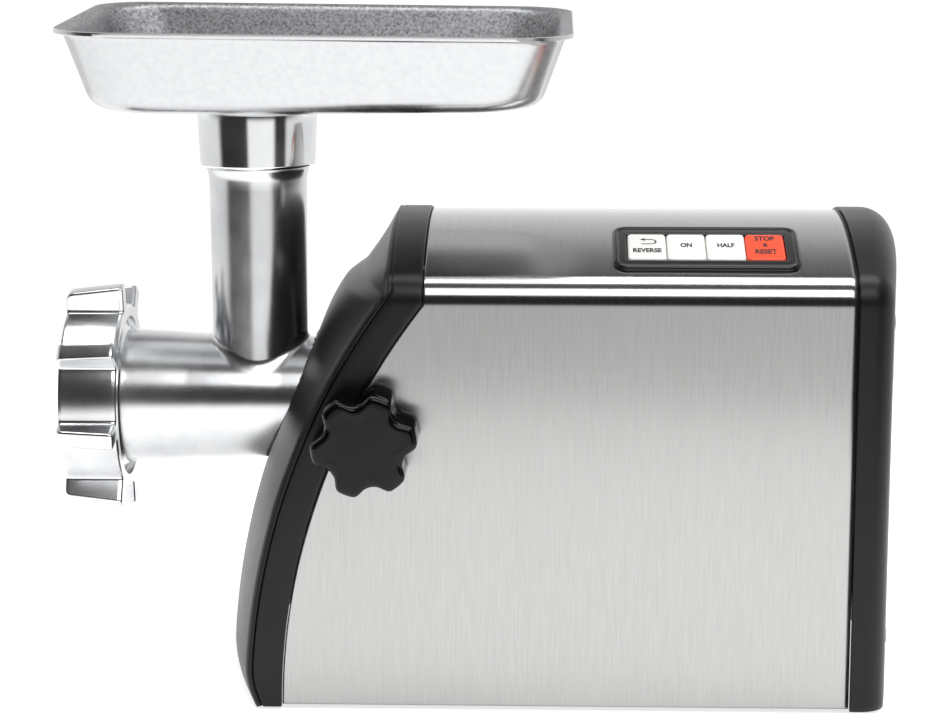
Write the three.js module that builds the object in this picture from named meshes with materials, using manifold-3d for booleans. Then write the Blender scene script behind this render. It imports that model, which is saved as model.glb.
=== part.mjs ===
// Electric meat grinder with a screw-on cutting head, feed tray and two-speed push-button panel.
// Millimetres, +Z up. The grinding head points along -X, the clamp knob and the buttons face -Y.
// Inside this file x = 228.5 is the centre line of the curved front, y = 0 the middle of the body
// and z = 0 the surface that it stands on. The exported group moves the bottom centre to the origin.
import * as THREE from "three";
import { mergeVertices } from "three/addons/utils/BufferGeometryUtils.js";
import Module from "manifold-3d";

const wasm = await Module();
wasm.setup();

// ---------------------------------------------------------------- driving dimensions
const CLEAR = 0.3; // gap between neighbouring pieces
const BODY_WIDTH = 180;
const SIDE_TOP = 196; // height where the flat sides start to bend inwards
const CROWN = 228; // highest line of the arched top
const BEND_R = 15; // radius between a side and the arch
const WRAP_BOTTOM = 2.5;
const WRAP_T = 1; // stainless sheet
const COVER_PROUD = 1.5; // how far both covers stand out from the wrap
const COVER_WALL = 3;
const COVER_BOTTOM = 1.5;
const FRONT_CX = 228.5; // both curves of the front cover are centred here, at z = 0
const BORDER_R = 318; // rear edge of the front cover
const STRIP_W = 16; // side strip of the front cover
const BORDER_TOP_X = -21.5; // rear edge of the front cover over the arch
const FACE_BULGE = 14; // how far the front face swells between its side edges
const HOOD_BULGE = 7; // extra swell of the front face under the crown
const REAR_X = 180.5; // joint of the wrap and the rear cover
const REAR_DEPTH = 24;
const REAR_BULGE = 8.5;
const REAR_ROUND = 12;
const BARREL_Z = 134.4; // axis of the head and of the output shaft
const BARREL_R = 33.5;
const BARREL_ROOT_R = 30.2;
const BARREL_BORE_R = 27;
const NECK_R = 25; // plain cylinder that slides into the socket
const NECK_X = -66;
const NECK_END_X = -30;
const THREAD_R = 39.5;
const TUBE_X = -107.3;
const TUBE_R = 23.6;
const TUBE_BORE_R = 20;
const COLLAR_Z = 252;
const COLLAR_TOP = 279;
const COLLAR_R = 28.6;
const PLATE_R = 35;
const PLATE_T = 7;
const RING_FRONT_X = -202;
const RING_L = 28.5;
const RING_HUB_R = 46;
const RING_TIP_R = 59;
const GRIP_T = 8.4;
const GRIP_TAPER = 3.4;
const RING_TURN = -10.8;
const RING_MOUTH_R = 31;
const LOBES = 8;
const TRAY_L = 244;
const TRAY_W = 166;
const TRAY_TOP = 323;
const TRAY_DEPTH = 40;
const TRAY_LEFT_X = -196.5;
const TRAY_CORNER_R = 27;
const TRAY_WALL = 2;
const TRAY_FLOOR_RISE = 0.022; // the floor climbs this much per mm away from the feed tube
const TRAY_LEAN_X = 1.7; // degrees; the tray sits a little askew in its loose socket
const TRAY_LEAN_Y = 0.6;
const KNOB_X = -48;
const KNOB_R = 24.8;
const KNOB_T = 24;
const KNOB_SCALLOP_R = 8;
const KNOB_SCALLOP_DEPTH = 6.5;
const KNOB_STANDOFF = 3;
const STUD_R = 4;
const PANEL_X = 110.9;
const PANEL_ANGLE = 18.3; // degrees round the arch, towards the operator
const PANEL_L = 88;
const PANEL_H = 46.5;
const KEY_H = 26.4;
const KEY_PITCH = 18.6;
const KEY_TRAVEL = 1.5;
const GEARBOX_X = -18;
const GEARBOX_L = 60;
const GEARBOX_WALL = 4;
const SHAFT_R = 5; // layshafts; the armature shaft is 1 less
const DRIVE_R = 14;
const SQUARE = 13; // square tail of the auger
const MOTOR_Z = 76;
const STATOR_R = 45;
const STATOR_L = 50;
const STATOR_X = 68;
const FOOT_R = 11;

// gear train from the output shaft back to the motor: module, teeth of the wheel and of its pinion
const STAGES = [
  { module: 1.75, wheel: 40, pinion: 10, x: GEARBOX_X + 8, width: 13 },
  { module: 1.25, wheel: 44, pinion: 11, x: GEARBOX_X + 25, width: 10 },
  { module: 1.25, wheel: 50, pinion: 10, x: GEARBOX_X + 40, width: 9 },
];

// ---------------------------------------------------------------- solids from three.js geometry
function solid(geometry) {
  const bare = geometry.clone();
  bare.deleteAttribute("normal");
  bare.deleteAttribute("uv");
  const merged = mergeVertices(bare, 1e-4);
  return new wasm.Manifold(
    new wasm.Mesh({
      numProp: 3,
      vertProperties: merged.attributes.position.array,
      triVerts: new Uint32Array(merged.index.array),
    }),
  );
}

const join = (first, ...rest) => rest.reduce((sum, s) => sum.add(s), first);
const cut = (first, ...rest) => rest.reduce((left, s) => left.subtract(s), first);
const meet = (first, ...rest) => rest.reduce((left, s) => left.intersect(s), first);

// A local frame given by the world directions of its x and y axes.
function frame(xAxis, yAxis, origin = [0, 0, 0]) {
  const x = new THREE.Vector3(...xAxis);
  const y = new THREE.Vector3(...yAxis);
  return new THREE.Matrix4()
    .makeBasis(x, y, x.clone().cross(y))
    .setPosition(...origin);
}

function extruded(points, depth, matrix) {
  const shape = new THREE.Shape(points);
  const geometry = new THREE.ExtrudeGeometry(shape, { depth, bevelEnabled: false });
  return solid(geometry.applyMatrix4(matrix));
}

// A (y, z) outline swept from x0 to x1, an (x, z) outline from y0 to y1, an (x, y) one from z0 to z1.
const alongX = (points, x0, x1) =>
  extruded(points, x1 - x0, frame([0, 1, 0], [0, 0, 1], [x0, 0, 0]));
const alongY = (points, y0, y1) =>
  extruded(points, y1 - y0, frame([1, 0, 0], [0, 0, 1], [0, y1, 0]));
const alongZ = (points, z0, z1) =>
  extruded(points, z1 - z0, frame([1, 0, 0], [0, 1, 0], [0, 0, z0]));

function box(x0, x1, y0, y1, z0, z1) {
  const geometry = new THREE.BoxGeometry(x1 - x0, y1 - y0, z1 - z0);
  return solid(geometry.translate((x0 + x1) / 2, (y0 + y1) / 2, (z0 + z1) / 2));
}

const vec = (x, y) => new THREE.Vector2(x, y);

// Points of an arc round (cx, cy), angles in degrees.
function arc(cx, cy, r, from, to, steps) {
  const points = [];
  for (let i = 0; i <= steps; i++) {
    const a = THREE.MathUtils.degToRad(from + ((to - from) * i) / steps);
    points.push(vec(cx + r * Math.cos(a), cy + r * Math.sin(a)));
  }
  return points;
}

function roundedRect(halfX, halfY, r, steps = 5) {
  return [
    ...arc(halfX - r, halfY - r, r, 0, 90, steps),
    ...arc(r - halfX, halfY - r, r, 90, 180, steps),
    ...arc(r - halfX, r - halfY, r, 180, 270, steps),
    ...arc(halfX - r, r - halfY, r, 270, 360, steps),
  ];
}

const shifted = (points, dx, dy) => points.map((p) => vec(p.x + dx, p.y + dy));

// A body turned round an axis; the profile lists [radius, place along the axis], from low to high.
function turned(profile, sides, matrix) {
  const closed = [...profile, profile[0]].map(([r, a]) => vec(r, a));
  return solid(new THREE.LatheGeometry(closed, sides).applyMatrix4(matrix));
}

const turnedX = (profile, sides, y, z) =>
  turned(profile, sides, frame([0, 1, 0], [1, 0, 0], [0, y, z]));
const turnedY = (profile, sides, x, z) =>
  turned(profile, sides, frame([1, 0, 0], [0, 1, 0], [x, 0, z]));
const turnedZ = (profile, sides, x, y) =>
  turned(profile, sides, frame([1, 0, 0], [0, 0, 1], [x, y, 0]));

const ringProfile = (rIn, rOut, from, to) => [
  [rIn, from],
  [rOut, from],
  [rOut, to],
  [rIn, to],
];
const rodX = (r, x0, x1, y = 0, z = BARREL_Z, sides = 24) =>
  turnedX(ringProfile(0, r, x0, x1), sides, y, z);
const rodY = (r, y0, y1, x, z, sides = 20) => turnedY(ringProfile(0, r, y0, y1), sides, x, z);
const rodZ = (r, z0, z1, x, y, sides = 20) => turnedZ(ringProfile(0, r, z0, z1), sides, x, y);

// Moves every vertex of a geometry: to(x, y, z) returns the new place.
function bent(geometry, to) {
  const p = geometry.attributes.position;
  for (let i = 0; i < p.count; i++) p.setXYZ(i, ...to(p.getX(i), p.getY(i), p.getZ(i)));
  return geometry;
}

// ---------------------------------------------------------------- the scene
const machine = new THREE.Group();

function geometryOf(body) {
  const mesh = body.getMesh();
  const geometry = new THREE.BufferGeometry();
  const xyz = new THREE.BufferAttribute(new Float32Array(mesh.vertProperties), 3);
  geometry.setAttribute("position", xyz);
  geometry.setIndex(new THREE.BufferAttribute(new Uint32Array(mesh.triVerts), 1));
  geometry.computeVertexNormals();
  return geometry;
}

function place(name, body, look) {
  const mesh = new THREE.Mesh(geometryOf(body), new THREE.MeshStandardMaterial(look));
  mesh.name = name;
  machine.add(mesh);
}

const STAINLESS = { color: 0xb9bbbd, roughness: 0.35, metalness: 1 };
const BLACK_ABS = { color: 0x1d1d1f, roughness: 0.4, metalness: 0 };
const GLOSS_BLACK = { color: 0x0c0c0d, roughness: 0.12, metalness: 0 };
const CAST_ALU = { color: 0xb4b5b6, roughness: 0.4, metalness: 1 };
const BRIGHT_ALU = { color: 0xd4d5d6, roughness: 0.22, metalness: 1 };
const STEEL = { color: 0x8d8f92, roughness: 0.35, metalness: 1 };
const COPPER = { color: 0xa8562c, roughness: 0.4, metalness: 1 };
const RUBBER = { color: 0x161616, roughness: 0.9, metalness: 0 };
const WHITE_KEY = { color: 0xf1f1ef, roughness: 0.35, metalness: 0 };
const RED_KEY = { color: 0xf0401f, roughness: 0.35, metalness: 0 };
const BOARD = { color: 0x2c5a36, roughness: 0.6, metalness: 0 };
const NYLON = { color: 0xd9d6cb, roughness: 0.5, metalness: 0 };
const CARBON = { color: 0x2b2b2b, roughness: 0.7, metalness: 0 };

// ---------------------------------------------------------------- body section
const HALF_W = BODY_WIDTH / 2;
const RISE = CROWN - SIDE_TOP;
const HALF_FLAT = HALF_W - BEND_R;
const ARCH_R =
  (HALF_FLAT ** 2 + RISE ** 2 - BEND_R ** 2) / (2 * (RISE - BEND_R));
const ARCH_Z = CROWN - ARCH_R;
const BEND_END = THREE.MathUtils.radToDeg(Math.atan2(SIDE_TOP - ARCH_Z, HALF_FLAT));

// The (y, z) section of the body, grown outwards by grow, from height bottom.
function section(grow, bottom) {
  const r = BEND_R + grow;
  return [
    vec(HALF_W + grow, bottom),
    ...arc(HALF_FLAT, SIDE_TOP, r, 0, BEND_END, 4),
    ...arc(0, ARCH_Z, ARCH_R + grow, BEND_END, 180 - BEND_END, 10).slice(1, -1),
    ...arc(-HALF_FLAT, SIDE_TOP, r, 180 - BEND_END, 180, 4),
    vec(-HALF_W - grow, bottom),
  ];
}

// The (x, z) outline of all that lies behind a curve of radius r in the side view.
function behindCurve(r, topX, rearX) {
  const angleAt = (z) => THREE.MathUtils.radToDeg(Math.asin(z / r));
  const topZ = Math.sqrt(r ** 2 - (FRONT_CX - topX) ** 2);
  const curve = arc(FRONT_CX, 0, r, 180 - angleAt(-2), 180 - angleAt(topZ), 9);
  return [...curve.reverse(), vec(curve[9].x, -20), vec(rearX, -20), vec(rearX, 260), vec(topX, 260)];
}

const behindBorder = (grow) =>
  alongY(behindCurve(BORDER_R + grow, BORDER_TOP_X - grow, 400), -120, 120);

// ---------------------------------------------------------------- housing
// Half the body's width at height z, from the sides over the bends and the arch.
function halfWidth(z) {
  const bendTop = SIDE_TOP + BEND_R * Math.sin(THREE.MathUtils.degToRad(BEND_END));
  if (z <= SIDE_TOP) return HALF_W;
  if (z < bendTop) return HALF_FLAT + Math.sqrt(BEND_R ** 2 - (z - SIDE_TOP) ** 2);
  return Math.sqrt(Math.max(1, ARCH_R ** 2 - (z - ARCH_Z) ** 2));
}

// How far forward the front face lies at a place (y, z): an arc in the side view, swollen in plan,
// with a hood under the crown and a turned-in foot.
function faceX(y, z) {
  const edgeR = BORDER_R + STRIP_W;
  const edge = FRONT_CX - Math.sqrt(edgeR ** 2 - Math.min(z, SIDE_TOP + 6) ** 2);
  const across = Math.max(0, 1 - (y / halfWidth(z)) ** 2);
  const hood = HOOD_BULGE * Math.exp(-(((z - SIDE_TOP) / 28) ** 2));
  const rise = THREE.MathUtils.clamp((z - SIDE_TOP) / (CROWN - SIDE_TOP), 0, 1);
  const foot = 6 * Math.max(0, 1 - z / 22) ** 2;
  return edge - (FACE_BULGE + hood) * (1 - rise) * across + foot;
}

// The block behind the front face, pulled back by inset.
function faceBlock(inset, bottom) {
  const top = CROWN + 12;
  const geometry = new THREE.BoxGeometry(1, 2, top - bottom, 1, 10, 12);
  const rearX = 20;
  return solid(
    bent(geometry, (x, y, z) => {
      const share = 0.5 - z / (top - bottom);
      const height = top - (top - bottom) * share ** 1.7;
      const across = y * (HALF_W + 6);
      const front = faceX(THREE.MathUtils.clamp(across, -HALF_W, HALF_W), height);
      return [x < 0 ? front + inset : rearX, across, height];
    }),
  );
}

const barrelHole = rodX(BARREL_ROOT_R + 2.5, -140, -40, 0, BARREL_Z, 28);
const studHole = rodY(STUD_R + 2, -HALF_W - 5, -HALF_W + 8, KNOB_X, BARREL_Z, 16);

function frontCover() {
  const outer = meet(alongX(section(COVER_PROUD, COVER_BOTTOM), -150, 10), faceBlock(0, -10));
  const shell = cut(outer, behindBorder(CLEAR));
  const hollow = meet(
    alongX(section(COVER_PROUD - COVER_WALL, -20), -150, 10),
    faceBlock(COVER_WALL, -30),
  );
  const skin = cut(shell, hollow);
  const lipOuter = alongX(section(-WRAP_T - CLEAR, WRAP_BOTTOM), -150, 20);
  const lipInner = alongX(section(-WRAP_T - CLEAR - 2, -20), -160, 30);
  const lip = cut(meet(lipOuter, behindBorder(7)), lipInner, behindBorder(-7));
  const flange = meet(lip, faceBlock(1, -10));
  return cut(join(skin, flange), barrelHole, studHole);
}

const panelRad = THREE.MathUtils.degToRad(PANEL_ANGLE);
// The panel's own frame: x along the body, y up the slope, z outwards, at the wrap's surface.
const panelFrame = frame(
  [1, 0, 0],
  [0, Math.cos(panelRad), Math.sin(panelRad)],
  [
    PANEL_X,
    -ARCH_R * Math.sin(panelRad),
    ARCH_Z + ARCH_R * Math.cos(panelRad),
  ],
);

function panelPrism(points, low, high) {
  const raise = new THREE.Matrix4().makeTranslation(0, 0, low);
  return extruded(points, high - low, panelFrame.clone().multiply(raise));
}

const archShell = (rIn, rOut) =>
  cut(
    rodX(rOut, PANEL_X - 70, PANEL_X + 70, 0, ARCH_Z, 144),
    rodX(rIn, PANEL_X - 71, PANEL_X + 71, 0, ARCH_Z, 144),
  );

function housingWrap() {
  const outer = alongX(section(0, WRAP_BOTTOM), -110, REAR_X - CLEAR);
  const inner = alongX(section(-WRAP_T, -20), -120, REAR_X + 5);
  const sheet = meet(cut(outer, inner), behindBorder(0));
  const window = panelPrism(roundedRect(PANEL_L / 2 - 4, PANEL_H / 2 - 4, 4), -12, 8);
  return cut(sheet, window, studHole);
}

const INLET_Y = -48;
const INLET_Z = 62;
const VENT_ROWS = 7;
const SCREW_YS = [-72, 72];
const SCREW_ZS = [34, 186];
const SCREW_SINK = 2.2;
const rearFaceX = (y) => REAR_X + REAR_DEPTH - REAR_BULGE * (y / HALF_W) ** 2;

// The convex block of the rear cover, with its vertical and top edges rounded, shrunk by inset.
function rearBlock(inset) {
  const half = HALF_W + COVER_PROUD - inset;
  const round = REAR_ROUND - inset;
  const end = REAR_X + REAR_DEPTH - inset;
  const start = REAR_X - 40;
  const swellR = (HALF_W ** 2 + REAR_BULGE ** 2) / (2 * REAR_BULGE);
  const swing = Math.asin((half - round) / (swellR - round));
  const cornerX = end - swellR + (swellR - round) * Math.cos(swing);
  const turn = THREE.MathUtils.radToDeg(swing);
  const plan = [
    vec(start, -half),
    ...arc(cornerX, round - half, round, -90, -turn, 4).slice(0, -1),
    ...arc(end - swellR, 0, swellR, -turn, turn, 6),
    ...arc(cornerX, half - round, round, turn, 90, 4).slice(1),
    vec(start, half),
  ];
  const archR = ARCH_R + COVER_PROUD - inset;
  const rim = arc(archR - round, end - round, round, 0, 90, 3).map((p) => [p.x, p.y]);
  const dome = turnedX([[0, start], [archR, start], ...rim, [0, end]], 60, 0, ARCH_Z);
  return meet(alongX(section(COVER_PROUD - inset, -30), start, end), alongZ(plan, -60, 300), dome);
}

function rearCover() {
  const ahead = box(0, REAR_X, -200, 200, -60, 300);
  const below = box(0, 300, -200, 200, -60, COVER_BOTTOM);
  const shell = cut(rearBlock(0), rearBlock(COVER_WALL), ahead, below);
  const lip = cut(
    alongX(section(-WRAP_T - CLEAR, WRAP_BOTTOM), REAR_X - 7, REAR_X + 4),
    alongX(section(-WRAP_T - CLEAR - 2, -20), REAR_X - 9, REAR_X + 6),
  );
  const vents = [];
  for (let row = 0; row < VENT_ROWS; row++) {
    const z = 104 + row * 9;
    vents.push(box(REAR_X + 5, REAR_X + 40, -34, 34, z, z + 4));
  }
  const inlet = box(REAR_X + 5, REAR_X + 40, INLET_Y - 14.5, INLET_Y + 14.5, INLET_Z - 11, INLET_Z + 11);
  const bosses = [];
  const holes = [];
  for (const y of SCREW_YS)
    for (const z of SCREW_ZS) {
      const seat = rearFaceX(y) - SCREW_SINK;
      bosses.push(rodX(7, seat - 8, seat + 1, y, z, 8));
      holes.push(rodX(2.3, seat - 20, seat + 1, y, z, 8));
      holes.push(rodX(4.4, seat, seat + 20, y, z, 10));
    }
  return cut(join(shell, lip, ...bosses), ...vents, inlet, ...holes);
}

function powerInlet() {
  const face = rearFaceX(INLET_Y - 14);
  const body = box(face - 22, face - 1.5, INLET_Y - 14, INLET_Y + 14, INLET_Z - 10.5, INLET_Z + 10.5);
  const well = box(face - 16, face + 3, INLET_Y - 11.5, INLET_Y + 11.5, INLET_Z - 8, INLET_Z + 8);
  const pins = [-7, 0, 7].map((y) =>
    box(face - 18, face - 6, INLET_Y + y - 1, INLET_Y + y + 1, INLET_Z - 3, INLET_Z + 3),
  );
  return join(cut(body, well), ...pins);
}

const FEET = [
  ["foot_front_right", -66, -62],
  ["foot_front_left", -66, 62],
  ["foot_rear_right", 150, -62],
  ["foot_rear_left", 150, 62],
];

function basePlate() {
  const inside = HALF_W - WRAP_T - 3;
  const outline = shifted(roundedRect(122, inside, 8), 52, 0);
  const plate = alongZ(outline, 4, 7);
  const pads = FEET.map(([, x, y]) => rodZ(FOOT_R, 7 - CLEAR, 11, x, y, 12));
  const holes = FEET.map(([, x, y]) => rodZ(4.5, 0, 20, x, y, 12));
  const vents = [];
  for (let i = 0; i < 6; i++) vents.push(box(60 + i * 12, 65 + i * 12, -30, 30, 0, 9));
  return cut(join(plate, ...pads), ...holes, ...vents);
}

function foot(x, y) {
  return turnedZ(
    [
      [0, 0],
      [FOOT_R - 1, 0],
      [FOOT_R, 1],
      [FOOT_R, 4 - CLEAR],
      [4.2, 4 - CLEAR],
      [4.2, 11 + CLEAR],
      [5.6, 11 + CLEAR],
      [3, 15],
      [0, 15],
    ],
    12,
    x,
    y,
  );
}

// ---------------------------------------------------------------- button panel
const KEYS = [
  ["button_reverse", -1.5, WHITE_KEY],
  ["button_on", -0.5, WHITE_KEY],
  ["button_half", 0.5, WHITE_KEY],
  ["button_stop", 1.5, RED_KEY],
];
const WINDOW_L = KEY_PITCH * KEYS.length + CLEAR;
const KEY_TOP = 1.6;
const KEY_FOOT = -6;
const BOARD_TOP = KEY_FOOT - KEY_TRAVEL - 3.5;

function controlBezel() {
  const flange = meet(
    archShell(ARCH_R + CLEAR, ARCH_R + 2.4),
    panelPrism(roundedRect(PANEL_L / 2, PANEL_H / 2, 7), -12, 12),
  );
  const skirt = panelPrism(roundedRect(PANEL_L / 2 - 4.4, PANEL_H / 2 - 4.4, 4), -8, 1);
  const keyway = panelPrism(roundedRect(WINDOW_L / 2, KEY_H / 2 + CLEAR, 1.5, 2), -20, 20);
  const under = panelPrism(roundedRect(WINDOW_L / 2, KEY_H / 2 + 2.2, 1, 2), -20, -2.4);
  return cut(join(flange, skirt), keyway, under);
}

function key(place) {
  const half = (KEY_PITCH - CLEAR) / 2;
  const cap = panelPrism(
    shifted(roundedRect(half, KEY_H / 2, 1, 2), place * KEY_PITCH, 0),
    KEY_FOOT,
    KEY_TOP,
  );
  const skirt = panelPrism(
    shifted(roundedRect(half - 1, KEY_H / 2 + 1.6, 0.8, 1), place * KEY_PITCH, 0),
    KEY_FOOT,
    -2.4 - CLEAR,
  );
  return join(cap, skirt);
}

function controlBoard() {
  const plate = panelPrism(roundedRect(PANEL_L / 2 - 5, PANEL_H / 2 - 3, 2, 1), BOARD_TOP - 1.6, BOARD_TOP);
  const switches = KEYS.map(([, at]) =>
    panelPrism(
      shifted(roundedRect(3, 3, 0.5, 1), at * KEY_PITCH, 0),
      BOARD_TOP - 0.5,
      KEY_FOOT - KEY_TRAVEL - CLEAR,
    ),
  );
  return join(plate, ...switches);
}

// ---------------------------------------------------------------- socket, clamp and knob
const SOCKET_R = NECK_R + 7;
const BOSS_END_Y = -HALF_W + WRAP_T + 3;
const PAD_R = 7;

function headSocket() {
  const tube = turnedX(
    ringProfile(NECK_R + CLEAR, SOCKET_R, NECK_X + 2, GEARBOX_X - CLEAR),
    28,
    0,
    BARREL_Z,
  );
  const boss = cut(
    rodY(11, BOSS_END_Y, -NECK_R - 3, KNOB_X, BARREL_Z),
    rodX(NECK_R + CLEAR, -80, 0, 0, BARREL_Z, 28),
  );
  const flange = cut(
    alongX(shifted(roundedRect(40, 37, 8), 0, BARREL_Z), GEARBOX_X - 6, GEARBOX_X - CLEAR),
    rodX(NECK_R + 1, -60, 0),
  );
  const padBore = rodY(PAD_R + CLEAR, -60, -NECK_R + 4, KNOB_X, BARREL_Z, 16);
  const studBore = rodY(STUD_R + CLEAR, BOSS_END_Y - 1, -55, KNOB_X, BARREL_Z, 16);
  return cut(join(tube, boss, flange), padBore, studBore);
}

const STUD_TIP_Y = -NECK_R - 13;

function clampPad() {
  return rodY(PAD_R, STUD_TIP_Y + CLEAR, -NECK_R - 2.6, KNOB_X, BARREL_Z);
}

function knobStud() {
  return rodY(STUD_R, -HALF_W - KNOB_STANDOFF - 14, STUD_TIP_Y, KNOB_X, BARREL_Z, 16);
}

// A disc of radius KNOB_R with six round scallops; each point lies on the rim or on a scallop.
function knobOutline() {
  const points = [];
  const steps = 48;
  const scallopAt = KNOB_R - KNOB_SCALLOP_DEPTH + KNOB_SCALLOP_R;
  for (let i = 0; i < steps; i++) {
    const a = (i / steps) * 2 * Math.PI;
    const turn = THREE.MathUtils.degToRad(40) - a;
    const sixth = Math.PI / 3;
    const off = turn - Math.round(turn / sixth) * sixth;
    const side = scallopAt * Math.sin(off);
    const inside = KNOB_SCALLOP_R ** 2 - side ** 2;
    const edge = inside > 0 ? scallopAt * Math.cos(off) - Math.sqrt(inside) : KNOB_R;
    const radius = Math.min(KNOB_R, edge);
    points.push(vec(radius * Math.cos(a), radius * Math.sin(a)));
  }
  return points;
}

function knob() {
  const front = -HALF_W - KNOB_STANDOFF - KNOB_T;
  const shape = new THREE.Shape(knobOutline());
  const geometry = new THREE.ExtrudeGeometry(shape, {
    depth: KNOB_T - 5,
    bevelThickness: 2.5,
    bevelSize: 2.5,
    bevelOffset: -2.5,
    bevelSegments: 1,
  });
  geometry.applyMatrix4(frame([1, 0, 0], [0, 0, 1], [KNOB_X, front + KNOB_T - 2.5, BARREL_Z]));
  const hub = rodY(STUD_R + CLEAR, front + 9, 0, KNOB_X, BARREL_Z, 16);
  return cut(solid(geometry), hub);
}

// ---------------------------------------------------------------- gear train
const wheelR = (s) => (s.module * s.wheel) / 2;
const pinionR = (s) => (s.module * s.pinion) / 2;
const centres = STAGES.map((s) => wheelR(s) + pinionR(s));
const OUTPUT = vec(0, BARREL_Z);
const MOTOR = vec(0, MOTOR_Z);

// The point at distance ra from a and rb from b, on the left of the way from a to b.
function apex(a, ra, b, rb) {
  const d = a.distanceTo(b);
  const along = (ra ** 2 - rb ** 2 + d ** 2) / (2 * d);
  const off = Math.sqrt(ra ** 2 - along ** 2);
  const way = b.clone().sub(a).divideScalar(d);
  return vec(a.x + way.x * along - way.y * off, a.y + way.y * along + way.x * off);
}

// The second layshaft stands where the first one can lie beside the motor shaft.
const LAY_2 = apex(OUTPUT, centres[0], MOTOR, centres[0] * 0.92);
const LAY_1 = apex(LAY_2, centres[1], MOTOR, centres[2]);

// Straight-flanked teeth; phase is the angle of the middle of the first tooth.
function gearOutline(module, teeth, phase, centre) {
  const pitchR = (module * teeth) / 2;
  const step = (2 * Math.PI) / teeth;
  const tip = pitchR + 0.9 * module;
  const root = pitchR - 1.2 * module;
  const points = [];
  for (let i = 0; i < teeth; i++) {
    const mid = phase + i * step;
    const corners = [
      [root, -0.31],
      [tip, -0.1],
      [tip, 0.1],
      [root, 0.31],
    ];
    for (const [r, share] of corners) {
      const a = mid + share * step;
      points.push(vec(centre.x + r * Math.cos(a), centre.y + r * Math.sin(a)));
    }
  }
  return points;
}

// A wheel has a tooth pointing at its pinion, and the pinion a gap pointing back.
function pair(stage, wheelCentre, pinionCentre) {
  const way = pinionCentre.clone().sub(wheelCentre).angle();
  const gap = way + Math.PI + Math.PI / stage.pinion;
  return {
    wheel: gearOutline(stage.module, stage.wheel, way, wheelCentre),
    pinion: gearOutline(stage.module, stage.pinion, gap, pinionCentre),
  };
}

const mesh3 = pair(STAGES[0], OUTPUT, LAY_2);
const mesh2 = pair(STAGES[1], LAY_2, LAY_1);
const mesh1 = pair(STAGES[2], LAY_1, MOTOR);

function wheel(stage, outline, centre, boreR) {
  const disc = alongX(outline, stage.x, stage.x + stage.width);
  return cut(disc, rodX(boreR, stage.x - 5, stage.x + 30, centre.x, centre.y));
}

const GEARBOX_END = GEARBOX_X + GEARBOX_L;
const LAY_START_X = GEARBOX_X + GEARBOX_WALL + CLEAR;

function pinionShaft(stage, outline, centre, from, to) {
  const gear = alongX(outline, stage.x - 1, stage.x + stage.width + 1);
  const shaft = rodX(SHAFT_R, from, to, centre.x, centre.y, 14);
  return join(gear, shaft);
}

const caseLow = LAY_1.y - wheelR(STAGES[2]) - 6;
const caseHigh = OUTPUT.y + wheelR(STAGES[0]) + 6;
const caseHalf = Math.max(
  wheelR(STAGES[0]),
  Math.abs(LAY_2.x) + wheelR(STAGES[1]),
  Math.abs(LAY_1.x) + wheelR(STAGES[2]),
) + 6 + GEARBOX_WALL;
const caseMid = (caseLow + caseHigh) / 2;
const caseTall = (caseHigh - caseLow) / 2 + GEARBOX_WALL;
const caseOutline = (inset) =>
  shifted(roundedRect(caseHalf - inset, caseTall - inset, 12 - inset, 3), 0, caseMid);
const BEARING_R = DRIVE_R + 6;
const CASE_SPLIT = GEARBOX_END - GEARBOX_WALL;
const CASE_SCREWS = [
  [-1, -1],
  [1, -1],
  [-1, 1],
  [1, 1],
].map(([sy, sz]) => vec(sy * (caseHalf - 5), caseMid + sz * (caseTall - 5)));

function gearboxHousing() {
  const block = alongX(caseOutline(0), GEARBOX_X, CASE_SPLIT - CLEAR);
  const room = alongX(caseOutline(GEARBOX_WALL), GEARBOX_X + GEARBOX_WALL, GEARBOX_END + 5);
  const towers = CASE_SCREWS.map((p) => rodX(5, GEARBOX_X + 1, CASE_SPLIT - CLEAR, p.x, p.y, 12));
  const inside = alongX(caseOutline(0), GEARBOX_X, GEARBOX_END);
  const shell = join(cut(block, room), meet(join(...towers), inside));
  const screwHoles = CASE_SCREWS.map((p) =>
    rodX(1.6, CASE_SPLIT - 15, GEARBOX_END, p.x, p.y, 10),
  );
  return cut(shell, rodX(BEARING_R + CLEAR, -80, GEARBOX_X + 20), ...screwHoles);
}

function gearboxCover() {
  const plate = alongX(caseOutline(0), CASE_SPLIT, GEARBOX_END);
  const motorHole = rodX(13, 0, 100, MOTOR.x, MOTOR.y);
  const shaftHole = rodX(SHAFT_R + CLEAR, 0, GEARBOX_END + 5, LAY_1.x, LAY_1.y, 16);
  const screwHoles = CASE_SCREWS.map((p) => rodX(2, 0, 100, p.x, p.y, 12));
  return cut(plate, motorHole, shaftHole, ...screwHoles);
}

// A pan-head screw whose head rests at x and whose shank runs towards -X.
function screw(x, y, z, length, r) {
  return join(rodX(r * 2, x, x + 2, y, z, 10), rodX(r, x - length, x, y, z, 8));
}

function driveShaft() {
  const body = join(
    rodX(DRIVE_R, GEARBOX_X - 12, STAGES[0].x - CLEAR),
    rodX(9, STAGES[0].x - 1, STAGES[0].x + STAGES[0].width + 3),
  );
  const half = SQUARE / 2 + CLEAR;
  return cut(body, box(-60, GEARBOX_X + 3, -half, half, BARREL_Z - half, BARREL_Z + half));
}

// ---------------------------------------------------------------- motor
const motorRod = (r, x0, x1, sides = 24) => rodX(r, x0, x1, MOTOR.x, MOTOR.y, sides);
const motorRing = (rIn, rOut, x0, x1, sides = 24) =>
  turnedX(ringProfile(rIn, rOut, x0, x1), sides, MOTOR.x, MOTOR.y);
const ARMATURE_R = 26;
const BRACKET_X = STATOR_X + STATOR_L + 34;
const SHAFT_END_X = BRACKET_X + 6;
const COMMUTATOR_X = STATOR_X + STATOR_L + 14;

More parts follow.
